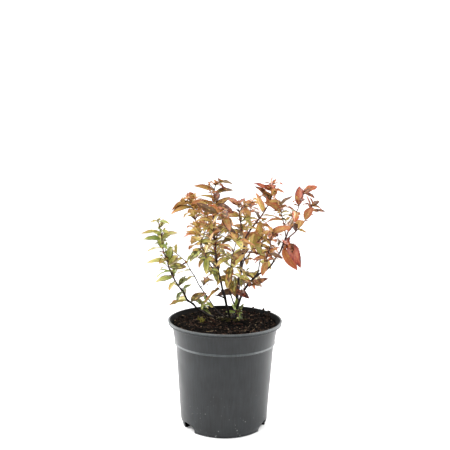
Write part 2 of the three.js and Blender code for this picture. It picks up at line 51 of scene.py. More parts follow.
POT_HEIGHT = 160
LIP = dict(radius=85.5, drop=6, width=5.2)
COLLAR = dict(height=126.8, step=1.2, radius=75, neck=79.2)
HEEL = dict(foot=62.8, height=8, radius=65.2)
WALL = 1.3
DRAIN = dict(width=25, height=12, azimuths=(96, 216, 336))
SOIL = dict(top=156, edge_top=152.5)
GROUND = SOIL["top"] + 0.3
FLARE = dict(share=0.45, reach=6)
TWIG_RADIUS = (0.8, 0.5)
LEAF = dict(stations=(0, 0.36, 0.68, 1), widths=(0.12, 1, 0.68, 0), half=0.2, fold=0.3)
SPOTS = dict(rows=9, across=(-1, -0.5, 0, 0.5, 1))
CLEAR = dict(leaf=2.8, bark=1.3, soil=2, rim=74, step=3, nearby=5)
SPRIG = dict(radius=(0.9, 0.5), bare=0.3)

# ---- the limbs and the leafy masses at their ends ----------------------------------------

# As in the model. A limb starts in the soil at (x, y), or on its origin, another limb, at a
# share of that one's length. It runs to its tip, or as far as the one number says. heading
# and lean hold at both its ends, and so does radius. bare is the share that shows as a limb,
# and the rest carries the foliage.
Wood = namedtuple("Wood", "name foliage origin at tip heading lean radius bare")
LIMBS = [
    ("stem_left", "left", None, (-22, 26), (-98, -30, 313),
     (-158, -144), (62, 8), (2.1, 0.8), 0.27),
    ("stem_left_thin", "left_thin", None, (-4, 31), (-80, 52, 252),
     (166, 169), (58, 60), (1.5, 0.7), 0.55),
    ("stem_centre", "centre_top", None, (8, 16), (-17, -14, 365),
     (-139, -131), (21, -10), (2.4, 0.8), 0.42),
    ("bough_centre_left", "centre_left", "stem_centre", 0.4, (-54, 36, 338),
     (135, 136), (69, 14), (1.6, 0.8), 0.2),
    ("stem_main", None, None, (14, 22), (29, 20, 279),
     (-7, -8), (9, 11), (2.9, 1.9), 1),
    ("bough_main_upper", "main_top", "stem_main", 1, (66, 34, 360),
     (21, 16), (26, -30), (1.8, 0.8), 0.16),
    ("bough_main_back", "main_back", "stem_main", 0.7, (58, 70, 278),
     (53, 55), (74, 59), (1.5, 0.8), 0.35),
    ("bough_main_front", "main_front", "stem_main", 0.86, (-12, -44, 323),
     (-124, -118), (51, 81), (1.4, 0.7), 0.2),
    ("bough_main_inner", "main_inner", "stem_main", 0.93, (17, -10, 333),
     (-109, -108), (22, 19), (1.2, 0.7), 0.25),
    ("stem_right", None, None, (16, 15), (48, 2, 228),
     (-22, -22), (4, 52), (2.6, 1.9), 1),
    ("bough_right", None, "stem_right", 1, (87, -18, 289),
     (-27, -27), (69, 17), (1.8, 1.4), 1),
    ("bough_right_top", "right_top", "bough_right", 1, (109, -46, 356),
     (-52, -52), (24, 26), (1.3, 0.7), 0.22),
    ("bough_right_inner", "right_inner", "bough_right", 1, (80, 12, 329),
     (102, 99), (37, 28), (1.1, 0.6), 0.3),
    ("bough_right_outer", "right_outer", "bough_right", 0.93, (127, 4, 334),
     (27, 29), (69, 21), (1.2, 0.6), 0.3),
    ("bough_right_back", "right_back", "stem_right", 0.97, (55, 38, 287),
     (67, 87), (50, 31), (1.2, 0.7), 0.3),
    ("bough_front", "front", "stem_main", 0.12, (14, -78, 292),
     (-118, -78), (42, 44), (1.6, 0.7), 0.3),
    ("bough_front_left", "front_left", "stem_centre", 0.34, (-38, -62, 287),
     (-110, -112), (60, 42), (1.4, 0.7), 0.25),
    ("bough_front_right", "front_right", "bough_right", 0.2, (64, -64, 300),
     (-95, -75), (55, 30), (1.3, 0.7), 0.25),
    ("bough_back", "back", "stem_main", 0.24, (40, 92, 322),
     (75, 70), (40, 28), (1.7, 0.7), 0.3),
    ("bough_back_left", "back_left", "stem_centre", 0.2, (-32, 84, 306),
     (105, 110), (45, 35), (1.6, 0.7), 0.3),
    ("twig_cut", None, "stem_centre", 0.17, 15,
     (178, 178), (72, 82), (1.5, 1.3), 1),
]

# Sprigs along the limbs: foliage, origin, at, reach, heading and lean.
SPRIGS = [
    ("left_low", "stem_left", 0.2, 12, 185, (60, 45)),
    ("left_foot", "stem_left", 0.1, 12, 60, (25, 10)),
    ("thin_low", "stem_left_thin", 0.45, 10, 10, (50, 35)),
    ("centre_low", "stem_centre", 0.22, 14, 180, (50, 35)),
    ("centre_mid", "stem_centre", 0.33, 14, 190, (60, 45)),
    ("main_low", "stem_main", 0.28, 16, -110, (50, 35)),
    ("main_mid", "stem_main", 0.5, 14, 0, (60, 45)),
    ("main_high", "stem_main", 0.8, 14, -60, (60, 45)),
    ("right_low", "stem_right", 0.72, 12, -60, (70, 55)),
    ("right_mid", "bough_right", 0.45, 16, 200, (30, 15)),
    ("right_large", "bough_right", 0.78, 10, -40, (60, 45)),
    ("right_small", "bough_right", 0.85, 10, 180, (50, 35)),
    ("foot", "stem_right", 0.12, 12, -75, (72, 60)),
]

# How the foliage grows. tint is how far its leaves have turned at its foot and tip, from 0,
# green, to 1, dark red. seed is the model's, and fine is the finer growth's. twigs counts its
# side twigs. Leaves of the length leaf stand every so many mm, from the azimuth first on and
# each a turn further. dim is added to their gloom, to darken or lighten a whole mass as painted
# shade, and they keep at most the share full of their length.
Habit = namedtuple("Habit", "tint seed fine twigs every leaf first turn dim full", defaults=(0, 1))
HABITS = {foliage: Habit(*habit) for foliage, *habit in (
    ("left", (0.12, 0.36), 666, 3442, 1, 9.9, 27, 60, 180, -0.1),
    ("left_thin", (0.2, 0.32), 121, 4765, 0, 11.6, 27, 100, 137.5),
    ("centre_top", (0.4, 0.72), 898, 1729, 1, 6.8, 33, 220, 155),
    ("centre_left", (0.5, 0.72), 255, 1871, 1, 5, 40, 110, 180, -0.3),
    ("main_top", (0.5, 0.78), 884, 6171, 0, 8.3, 40, 180, 170),
    ("main_back", (0.36, 0.5), 704, 9596, 0, 12.1, 35, 260, 170),
    ("main_front", (0.34, 0.58), 552, 3993, 0, 9.6, 43, 310, 180),
    ("main_inner", (0.4, 0.64), 47, 7202, 0, 9.4, 40, 20, 170),
    ("right_top", (0.48, 0.68), 24, 7868, 0, 10, 31, 290, 170, 0.5),
    ("right_inner", (0.4, 0.6), 814, 9725, 0, 7.1, 40, 30, 180, 0.5),
    ("right_outer", (0.42, 0.62), 738, 3062, 0, 8.9, 33, 260, 180, 0.6),
    ("right_back", (0.35, 0.55), 363, 7400, 0, 7.2, 36, 70, 170),
    ("front", (0.28, 0.5), 105, 4705, 1, 9.1, 39, 110, 170, 0, 0.75),
    ("front_left", (0.2, 0.42), 130, 1376, 0, 11.9, 29, 320, 155),
    ("front_right", (0.46, 0.68), 110, 766, 0, 10, 30, 30, 155, 0.25, 0.65),
    ("back", (0.4, 0.68), 77, 7117, 1, 10.2, 37, 240, 180),
    ("back_left", (0.34, 0.6), 430, 8535, 1, 7.6, 34, 280, 155),
    ("left_low", (0.3, 0.4), 229, 6398, 0, 4.3, 37, 0, 137.5),
    ("left_foot", (0.12, 0.2), 602, 2231, 0, 4.3, 33, 310, 180, 0, 0.7),
    ("thin_low", (0.4, 0.45), 532, 9053, 0, 4.5, 23, 140, 137.5),
    ("centre_low", (0.3, 0.4), 702, 8096, 0, 5.9, 32, 230, 170),
    ("centre_mid", (0.34, 0.44), 448, 4800, 0, 4.9, 27, 60, 170),
    ("main_low", (0.5, 0.7), 142, 9814, 0, 5.7, 29, 180, 170),
    ("main_mid", (0.25, 0.32), 33, 9382, 0, 4.3, 40, 250, 180),
    ("main_high", (0.52, 0.6), 481, 2770, 0, 5.6, 25, 190, 170),
    ("right_low", (0.45, 0.55), 873, 8354, 0, 4.5, 28, 10, 170),
    ("right_mid", (0.52, 0.6), 209, 3494, 0, 5, 30, 130, 170, 0.3),
    ("right_large", (0.74, 0.82), 302, 5076, 0, 5.6, 37, 40, 180, 0.1, 0.5),
    ("right_small", (0.6, 0.7), 262, 9690, 0, 6.5, 16, 280, 180),
    ("foot", (0, 0.06), 875, 4718, 0, 2.7, 12, 300, 170),
)}

# Large leaves, which the model has too, and further leaves that stand out, all as (share of
# the stem, azimuth, opening, length, droop, roll).
LARGE = dict(
    left=[(0.5, 180, 70, 30, 0.45, -35), (0.66, 185, 65, 31, 0.4, -25), (0.84, 180, 65, 28, 0.4, -35),
        (0.86, 5, 65, 27, 0.6, 35)],
    centre_left=[(0.88, 185, 70, 40, 1, -35), (0.55, 185, 75, 27, 0.5, -30)],
    main_top=[(0.88, 180, 52, 33, 0.35, -35)],
    right_large=[(0.9, -80, 50, 52, 2.3, 65), (0.1, -60, 90, 42, -0.5, 50)],
)
STANDING = dict(
    left_foot=[(0.4, 350, 100, 18, 0.6, 40), (0.7, 270, 90, 16, 1.2, 10)],
    foot=[(0.3, 90, 100, 22, -0.6, 0), (0.5, 130, 90, 20, -0.5, 20), (0.8, 60, 80, 16, 0, -20),
        (0.1, 170, 100, 17, 0.2, 10)],
    centre_top=[(0.95, 190, 70, 32, 0.4, 50), (0.85, 170, 70, 34, 0.6, 40), (0.8, 10, 30, 36, 0.6, 50),
        (0.85, 340, 90, 34, 0.6, 40), (0.8, 0, 60, 30, 0.6, 60)],
    main_top=[(0.5, 190, 50, 34, 0.4, 40), (0.8, 0, 120, 30, 0.4, 30), (0.75, 180, 60, 32, 0.3, -35)],
    left=[(0.65, 70, 60, 28, 0, 30), (0.75, 100, 40, 28, 0.2, -20), (0.6, 20, 100, 28, 0.4, 60),
        (0.9, 180, 80, 28, 0.2, 40), (0.35, 30, 60, 20, 0.8, 20)],
    front_right=[(0.3, 250, 70, 28, 0.6, 10), (1, 340, 40, 32, 0.2, -50)],
    left_low=[(0.35, 20, 100, 34, 0.8, 60), (1, 160, 60, 30, 0.2, 40)],
    right_top=[(0.45, 250, 100, 32, 0.6, -50)],
    right_low=[(0.95, 10, 30, 28, 0, 40)],
    right_inner=[(1, 350, 50, 28, 0.2, 30), (0.2, 180, 80, 30, 0.4, 40)],
    right_outer=[(0.95, 60, 40, 22, 0.2, 30), (0.9, 200, 40, 22, 0.2, -40),
        (0.85, 330, 60, 24, 0.4, 40)],
    main_front=[(0.3, 200, 40, 30, 1.4, -40), (1, 150, 50, 34, 0, -50)],
    centre_left=[(0.95, 180, 80, 36, 0.8, 40), (0.5, 190, 40, 24, 0.4, 40)],
)

# ---- the rule of growth ------------------------------------------------------------------


def unit(vector):
    return vector / np.linalg.norm(vector)


def units(rows):
    return rows / np.linalg.norm(rows, axis=1)[:, None]


def direction(heading, lean):
    h, l = math.radians(heading), math.radians(lean)
    return np.array([math.sin(l) * math.cos(h), math.sin(l) * math.sin(h), math.cos(l)])


def seeded(seed):
    """The model's own stream of numbers from 0 to 1."""
    modulus = 2147483647
    state = (seed * 7919 + 12345) % modulus

    def draw():
        nonlocal state
        state = state * 48271 % modulus
        return state / modulus

    for _ in range(3):
        draw()
    return draw


KINK = dict(every=13, reach=0.75, seed=12)  # a knot's distance to the next and off the curve


class Limb:
    """A tapering cubic curve, read by the share of its length."""

    def __init__(self, start, wood):
        self.wood, self.name, self.bare = wood, wood.name, wood.bare
        self.mass = wood.foliage and f"leaves_{wood.foliage}"
        self.habit = HABITS.get(wood.foliage)
        first, last = (direction(*angles) for angles in zip(wood.heading, wood.lean))
        tip = start + first * wood.tip if np.isscalar(wood.tip) else np.array(wood.tip, float)
        third = np.linalg.norm(tip - start) / 3
        self.points = (start, start + first * third, tip - last * third, tip)
        self.steps = np.linspace(0, 1, 201)
        gaps = np.linalg.norm(np.diff([self.place(t) for t in self.steps], axis=0), axis=1)
        self.reached = np.concatenate([[0], np.cumsum(gaps)])
        self.length = self.reached[-1]
        self.kinks = np.zeros((2, 3))

    def place(self, t):
        a, b, c, d = self.points
        return (1 - t)**3 * a + 3 * (1 - t)**2 * t * b + 3 * (1 - t) * t * t * c + t**3 * d

    def step(self, share):
        return float(np.interp(share * self.length, self.reached, self.steps))

    def at(self, share):
        return self.place(self.step(share)) + self.offset(share)

    def offset(self, share):
        """How far the wood has kinked away from its curve."""
        at = np.linspace(0, 1, len(self.kinks))
        return np.array([np.interp(share, at, channel) for channel in self.kinks.T])

    def along(self, share):
        t = self.step(share)
        a, b, c, d = self.points
        return unit((1 - t)**2 * (b - a) + 2 * (1 - t) * t * (c - b) + t * t * (d - c))

    def radius(self, share):
        first, last = self.wood.radius
        return first + (last - first) * share

    def bear(self, share, *shape):
        """A leaf on the limb, of this azimuth, opening, length, droop and roll."""
        return Leaf(self.at(share), self.along(share), *shape)


def place_limbs():
    sprigs = [Wood(f"leaves_{foliage}", foliage, origin, at, reach, (heading, heading), lean, **SPRIG)
              for foliage, origin, at, reach, heading, lean in SPRIGS]
    limbs = {}
    for wood in [Wood(*row) for row in LIMBS] + sprigs:
        parent = limbs.get(wood.origin)
        start = parent.at(wood.at) if parent else np.array([*wood.at, GROUND], float)
        limbs[wood.name] = Limb(start, wood)
    return limbs


class Leaf:
    """A blade on a rib that leaves a twig at base, opens away from it, and then droops."""

    def __init__(self, base, along, azimuth, opening, length, droop, roll):
        across = unit(np.array([1.0, 0, 0]) - along * along[0])
        a, o, r = (math.radians(angle) for angle in (azimuth, opening, roll))
        out = across * math.cos(a) + np.cross(along, across) * math.sin(a)
        rise = unit(along * math.cos(o) + out * math.sin(o))
        fall = unit(rise - np.array([0, 0, droop]))
        side = unit(np.cross(rise, along + np.array([0, 0, 1.0])))
        self.base = base
        self.middle = base + rise * length / 2
        self.tip = self.middle + fall * length / 2
        self.level, self.lifted, self.roll = side, np.cross(rise, side), r
        self.azimuth, self.length = azimuth, length
        self.large, self.dark = False, False
        self.tint, self.gloom, self.wide = 0, 0, 1
        self.turn(1)

    def turn(self, share):
        """Rolls the blade by a share of its roll."""
        angle = self.roll * share
        self.side = self.level * math.cos(angle) + self.lifted * math.sin(angle)

    def shrink(self, share):
        """Brings the blade back to a share of its length."""
        self.length *= share
        self.middle = self.base + (self.middle - self.base) * share
        self.tip = self.base + (self.tip - self.base) * share

    def shift(self, offset):
        self.base, self.middle, self.tip = (p + offset for p in (self.base, self.middle, self.tip))

    def rib(self, s):
        """Points of the rib, and its run there, for a column s of shares of its length."""
        points = (1 - s)**2 * self.base + 2 * (1 - s) * s * self.middle + s * s * self.tip
        return points, (1 - s) * (self.middle - self.base) + s * (self.tip - self.middle)

    def spots(self):
        """Points on the blade that are kept clear of others."""
        s = (np.arange(SPOTS["rows"]) + 1)[:, None] / SPOTS["rows"]
        rib, run = self.rib(s)
        normal = units(np.cross(self.side, run))
        half = self.length * LEAF["half"] * np.interp(s, LEAF["stations"], LEAF["widths"])
        across = np.array(SPOTS["across"])[None, :, None]
        lift = LEAF["fold"] * np.abs(across) * normal[:, None]
        return (rib[:, None] + half[:, None] * (across * self.side + lift)).reshape(-1, 3)


def side_twig(leaf, base, along, azimuth, draw):
    """Three small leaves, and the line of the side twig that they stand on."""
    reach = leaf * (0.8 + 0.5 * draw())
    tip = Leaf(base, along, azimuth, 48, reach, 0.1, 0).tip
    heading = unit(tip - base)
    leaves = []
    for j in range(3):
        around = 360 * draw()
        length = leaf * (0.75 - 0.12 * j) * (1 + 0.3 * (draw() - 0.5))
        roll = 60 * (draw() - 0.5)
        foot = base + (tip - base) * (0.5 + 0.25 * j)
        leaves.append(Leaf(foot, heading, around, 50, length, 0.6, roll))
    return leaves, (base, tip)


def growth(limb):
    """(share of the limb, leaves, side twig or None) of each sprig along a mass's stem."""
    habit, bare = limb.habit, limb.bare
    draw = seeded(habit.seed)
    count = max(2, math.floor(limb.length * (1 - bare) / habit.every + 0.5))
    twigs = [math.floor((i + 0.5) * count / (habit.twigs + 1) + 0.5) for i in range(habit.twigs)]
    for k in range(count):
        u = (k + 0.6) / count
        share = bare + (1 - bare) * u
        base, along = limb.at(share), limb.along(share)
        azimuth = habit.first + habit.turn * k + 44 * (draw() - 0.5)
        opening = 64 - 8 * u + 24 * (draw() - 0.5)
        swell = 0.86 + 0.3 * math.sin(math.pi * min(1, u * 1.1))
        length = habit.leaf * swell * (1 + 0.3 * (draw() - 0.5))
        droop = 0.95 - 0.4 * u + 0.7 * (draw() - 0.5)
        roll = 90 * (draw() - 0.5)
        yield share, [Leaf(base, along, azimuth, opening, length, droop, roll)], None
        if k in twigs:
            yield share, *side_twig(habit.leaf, base, along, azimuth + 40, draw)
    for share, *shape in LARGE.get(limb.wood.foliage, ()):
        leaf = limb.bear(share, *shape)
        leaf.large = True
        yield share, [leaf], None


class Taken:
    """Points already taken, on the bark of limbs and on the leaves of masses."""

    def __init__(self):
        self.points, self.reach, self.owners = np.zeros((0, 3)), np.zeros(0), np.zeros(0, object)

    def add(self, points, reach, owners):
        self.points = np.concatenate([self.points, points])
        self.reach = np.concatenate([self.reach, reach])
        self.owners = np.concatenate([self.owners, np.array(owners, object)])

    def add_bark(self, limb):
        steps = math.ceil(limb.length / CLEAR["step"])
        shares = [i / steps for i in range(steps + 1)]
        self.add([limb.at(share) for share in shares],
                 [limb.radius(share) + CLEAR["bark"] for share in shares],
                 [limb.mass if share > limb.bare else limb.name for share in shares])

    def add_leaves(self, leaves, mass):
        spots = np.concatenate([leaf.spots() for leaf in leaves])
        self.add(spots, np.full(len(spots), CLEAR["leaf"]), [mass] * len(spots))

    def is_free(self, spots, mass):
        x, y, z = spots.T
        if (z < SOIL["top"] + CLEAR["soil"]).any():
            return False
        if ((z < POT_HEIGHT + CLEAR["soil"]) & (np.hypot(x, y) > CLEAR["rim"])).any():
            return False
        low, high = spots.min(axis=0) - CLEAR["nearby"], spots.max(axis=0) + CLEAR["nearby"]
        near = ((self.points > low) & (self.points < high)).all(axis=1) & (self.owners != mass)
        gaps = np.linalg.norm(spots[:, None] - self.points[None, near], axis=2)
        return bool((gaps > self.reach[near]).all())


def grow(limbs):
    """{mass: its kept sprigs}: those that touch no limb and no other mass; and all that is
    taken then."""
    taken = Taken()
    for limb in limbs.values():
        taken.add_bark(limb)
    sprigs = {}
    for limb in (limb for limb in limbs.values() if limb.mass):
        kept = []
        for share, leaves, twig in growth(limb):
            spots = [leaf.spots() for leaf in leaves]
            if twig:
                spots.append(np.array([(twig[0] + twig[1]) / 2, twig[1]]))
            if taken.is_free(np.concatenate(spots), limb.mass):
                kept.append((share, leaves, twig))
        taken.add_leaves([leaf for _, leaves, _ in kept for leaf in leaves], limb.mass)
        sprigs[limb.mass] = kept
    return sprigs, taken


def kink(limbs, sprigs):
    """Kinks the wood at its nodes, and takes what grows on it along."""
    rng = np.random.default_rng(KINK["seed"])
    for limb in limbs.values():
        parent = limbs.get(limb.wood.origin)
        knots = max(2, round(limb.length / KINK["every"]))
        kinks = rng.normal(0, KINK["reach"], (knots + 1, 3))
        kinks[0] = parent.offset(limb.wood.at) if parent else 0
        kinks[1] *= 0.5
        limb.kinks = kinks
        for i, (share, leaves, twig) in enumerate(sprigs.get(limb.mass, ())):
            offset = limb.offset(share)
            for leaf in leaves:
                leaf.shift(offset)
            if twig:
                sprigs[limb.mass][i] = share, leaves, (twig[0] + offset, twig[1] + offset)


# ---- finer growth in the same reach ------------------------------------------------------

FINE = dict(
    axil=(0.22, 0.42),  # small leaves in an axil, as shares of the mass's leaf
    axil_least=0.31,  # and the share from which they are kept
    twig=(8, 17),  # length of a short shoot
    shoots=0.4,  # share of axils that have one
    dark=0.3,  # share of nodes with tiny dark leaves
    tiny=(4, 9),  # and their length
    tuft=(0.62, 0.3),  # first and last leaf of the tuft at a tip
    steps=5,  # leaves in a tuft
    spiral=137.5,  # degrees from one leaf of a tuft to the next
    longest=34,  # most leaves' greatest length
    roll=(0.1, 1),  # share of its roll that a blade has settled to
    wide=(0.68, 0.94),  # half width of a blade, as a share of the solid's
    broad=0.82,  # the same of a large leaf
    low=0.7,  # share of a mass's length up to which leaves are low
    shaded=0.2,  # share of low leaves that are wholly darker, as painted shade
    late=1.4,  # power by which the colour turns late along a mass
)
# Gloom is painted shade: leaves low and inside the crown are made darker and redder.
# The crown's axis, reach and height, and the share of its height below which it has no gloom.
CROWN = dict(axis=(14, 15), reach=110, height=215, foot=0.17)
GLOOM = dict(most=1.4, up=1.6, out=0.5)  # at the foot, and how it fades upwards and outwards


def tuft(tip, along, leaf, tint, rng, steps=FINE["steps"]):
    """Young leaves round a shoot's tip, smaller and more upright towards its end."""
    first, last = FINE["tuft"]
    leaves = []
    for k in range(steps):
        u = k / (steps - 1)
        length = leaf * (first + (last - first) * u) * rng.uniform(0.85, 1.15)
        young = Leaf(tip - along * 3 * (1 - u), along, FINE["spiral"] * k + rng.uniform(-25, 25),
                     76 - 44 * u + rng.uniform(-10, 10), length, 0.9 - 0.6 * u, rng.uniform(-25, 25))
        young.tint = tint + rng.uniform(-0.1, 0.12)
        leaves.append(young)
    return leaves


def short_shoot(base, along, azimuth, leaf, tint, rng):
    """A short side shoot with a few small leaves, and the line of its twig."""
    reach = rng.uniform(*FINE["twig"])
    tip = Leaf(base, along, azimuth, rng.uniform(38, 60), reach, -0.1, 0).tip
    heading = unit(tip - base)
    return tuft(tip, heading, leaf * 0.72, tint, rng, steps=4), (base, tip)


def axil_growth(limb, share, azimuth, tint, rng):
    """Groups of small leaves in one axil, each with its twig or None."""
    base, along = limb.at(share), limb.along(share)
    leaf = limb.habit.leaf
    if rng.random() < FINE["shoots"]:
        yield short_shoot(base, along, azimuth + rng.uniform(-50, 50), leaf, tint, rng)
    for _ in range(rng.integers(1, 4)):
        small = Leaf(base, along, azimuth + rng.uniform(-110, 110), rng.uniform(35, 65),
                     leaf * rng.uniform(*FINE["axil"]), rng.uniform(0.2, 0.8), rng.uniform(-45, 45))
        small.tint = tint + rng.uniform(-0.1, 0.14)
        if small.length > FINE["axil_least"] * leaf:
            yield [small], None
    if rng.random() < FINE["dark"]:
        tiny = [Leaf(base + along * rng.uniform(-1, 2), along, azimuth + rng.uniform(60, 300),
                     rng.uniform(20, 70), rng.uniform(*FINE["tiny"]), 0.2, rng.uniform(-60, 60))
                for _ in range(3)]
        for young in tiny:
            young.tint, young.dark = rng.uniform(0.6, 1), True
        yield tiny, None


def tint_at(limb, share):
    first, last = limb.habit.tint
    u = (share - limb.bare) / (1 - limb.bare)
    return first + (last - first) * max(0, u) ** FINE["late"]


def gloom_of(leaf):
    """How far a leaf is darkened by painted shade, and dulled by age, from 0 at the crown's top
    and rim to 1 low inside it. The lowest leaves of all are young and bright."""
    x, y, z = leaf.middle
    out = math.hypot(x - CROWN["axis"][0], y - CROWN["axis"][1]) / CROWN["reach"]
    up = (z - SOIL["top"]) / CROWN["height"]
    gloom = GLOOM["most"] - GLOOM["up"] * up - GLOOM["out"] * out
    return min(1, max(0, gloom)) if up > CROWN["foot"] else 0


def stand_out(limb, rng):
    """The mass's further leaves that stand out."""
    for share, *shape in STANDING.get(limb.wood.foliage, ()):
        leaf = limb.bear(share, *shape)
        leaf.wide = rng.uniform(*FINE["wide"])
        leaf.tint = tint_at(limb, share) + rng.uniform(-0.1, 0.1)
        yield leaf


def finer(limb, sprigs, taken):
    """The mass's leaves, tinted and settled, its small leaves, and its twigs."""
    rng = np.random.default_rng(limb.habit.fine)
    full, small, twigs = [], [], []

    def keep(leaves, twig=None):
        if taken.is_free(np.concatenate([leaf.spots() for leaf in leaves]), limb.mass):
            small.extend(leaves)
            if twig:
                twigs.append(twig)

    for share, leaves, twig in sprigs:
        tint = tint_at(limb, share)
        for leaf in leaves:
            leaf.tint = tint + rng.uniform(-0.15, 0.15)
            settled, wide = rng.uniform(*FINE["roll"]), rng.uniform(*FINE["wide"])
            # Some low leaves are wholly darker, as painted shade.
            dark = rng.random() < FINE["shaded"] and share < FINE["low"]
            if leaf.large:
                leaf.wide = FINE["broad"]
            else:
                leaf.shrink(min(limb.habit.full, FINE["longest"] / leaf.length))
                leaf.turn(settled)
                leaf.wide, leaf.dark = wide, dark
        full += leaves
        if twig:
            twigs.append(twig)
            keep(tuft(twig[1], unit(twig[1] - twig[0]), limb.habit.leaf * 0.7, tint, rng))
        for group in axil_growth(limb, share, leaves[0].azimuth, tint, rng):
            keep(*group)
    keep(tuft(limb.at(1), limb.along(1), limb.habit.leaf, tint_at(limb, 1), rng))
    full += stand_out(limb, rng)
    for leaf in full + small:
        # Gloom, the painted shade, from the leaf's place and its mass's dim.
        leaf.gloom = gloom_of(leaf) + limb.habit.dim
    return full, small, twigs


# ---- meshes ------------------------------------------------------------------------------


def linked(name, data):
    """A new object of the scene."""
    made = bpy.data.objects.new(name, data)
    bpy.context.scene.collection.objects.link(made)
    return made


def spokes(sides):
    """(x, y) of points spaced evenly round the unit circle."""
    angles = 2 * math.pi * np.arange(sides) / sides
    return np.stack([np.cos(angles), np.sin(angles)], axis=1)


def turned(profile, sides):
    """Rings of points for a profile of (radius, height)."""
    return [[(x, y, z) for x, y in r * spokes(sides)] for r, z in profile]


def ring_faces(rows, ring, first=0):
    """Quads round rows of ring points, and the caps at both ends."""
    i = np.arange(rows - 1)[:, None] * ring
    j = np.arange(ring)[None]
    k = (j + 1) % ring
    quads = np.stack([i + j, i + k, i + ring + k, i + ring + j], axis=-1).reshape(-1, 4) + first
    near = [first + j for j in reversed(range(ring))]
    far = [first + (rows - 1) * ring + j for j in range(ring)]
    return [*quads.tolist(), near, far]


class Bundle:
    """Many small closed skins, joined as one mesh."""

    def __init__(self):
        self.points, self.faces, self.slots = [], [], []
        self.count = 0

    def add(self, rings, slots=0):
        """rings is rows by ring by 3; slots is one number or one for each quad."""
        rows, ring = rings.shape[:2]
        faces = ring_faces(rows, ring, self.count)
        self.points.append(rings.reshape(-1, 3))
        self.faces += faces
        self.count += rows * ring
        quads = np.broadcast_to(slots, (rows - 1, ring)).ravel().tolist()
        self.slots += [*quads, quads[0], quads[-1]]

    def make(self, name, materials=(), sharp=50):
        """An object of it, smooth but for edges over the sharp angle, with the materials used."""
        mesh = bpy.data.meshes.new(name)
        mesh.from_pydata((np.concatenate(self.points) * MM).tolist(), [], self.faces)
        used, slots = np.unique(self.slots, return_inverse=True)
        for slot in used if materials else ():
            mesh.materials.append(materials[slot])
        mesh.polygons.foreach_set("material_index", slots.astype(np.int32))
        mesh.shade_smooth()
        mesh.set_sharp_from_angle(angle=math.radians(sharp))
        mesh.validate()
        return linked(name, mesh)


def tube(centres, radii, sides, relief=None):
    """Rings round a line of centres, turned as little as the line allows."""
    centres = np.asarray(centres, float)
    runs = np.gradient(centres, axis=0)
    side = np.array([0, 0, 1.0]) if abs(unit(runs[0])[0]) > 0.9 else np.array([1.0, 0, 0])
    x, y = spokes(sides).T[:, :, None]
    rings = []
    for i, (centre, run) in enumerate(zip(centres, runs)):
        along = unit(run)
        side = unit(side - along * side.dot(along))
        other = np.cross(along, side)
        out = x * side + y * other
        swell = 1 if relief is None else relief[i][:, None]
        rings.append(centre + out * radii[i] * swell)
    return np.array(rings)


# ---- leaves ------------------------------------------------------------------------------

STALK = 0.06  # share of a leaf's length
BLADE = dict(
    rise=0.66, fall=0.86,  # powers of the outline's growth and taper
    veins=7, vein_lean=0.16, vein_depth=0.035,
    tooth=0.13, stem=0.5, thickness=0.36, rib=0.5, fold=0.45,
    grown=22,  # length from which a leaf is at its full thickness
    twist=0.5, curl=0.1,  # the most, in radians and as a share of the length
    wave=0.16,  # height of the waves at its edge, as a share of its half width
)
DAPPLED_SHADE = dict(least=0.24, gloom=0.7)  # share of leaves mostly darkened, as painted dappled shade
FULL = dict(across=(1, 0.72, 0.42, 0.15, 0.05), teeth=11)
SMALL = dict(across=(1, 0.55, 0.12), teeth=4)
TINTS = 22


def ring_places(across):
    """Places round a blade: its underside from left to right, then its upper side back."""
    under = [*across, *(-t for t in reversed(across))]
    return np.array(under + [-t for t in under[1:-1]]), len(under)


def outline(s):
    """Half width of a blade along its length, as a share of the widest."""
    x = np.clip((s - STALK) / (1 - STALK), 0, 1)
    peak = BLADE["rise"] / (BLADE["rise"] + BLADE["fall"])
    widest = peak ** BLADE["rise"] * (1 - peak) ** BLADE["fall"]
    return x ** BLADE["rise"] * (1 - x) ** BLADE["fall"] / widest


def leaf_rows(teeth):
    """Shares along a leaf, and how far each row's edge stands out as a tooth."""
    blade = np.linspace(STALK, 0.995, 3 * teeth + 1)
    tooth = np.tile([0, 0.55, 1], teeth + 1)[:len(blade)]
    return np.concatenate([[0, STALK / 2], blade]), np.concatenate([[0, 0], tooth])


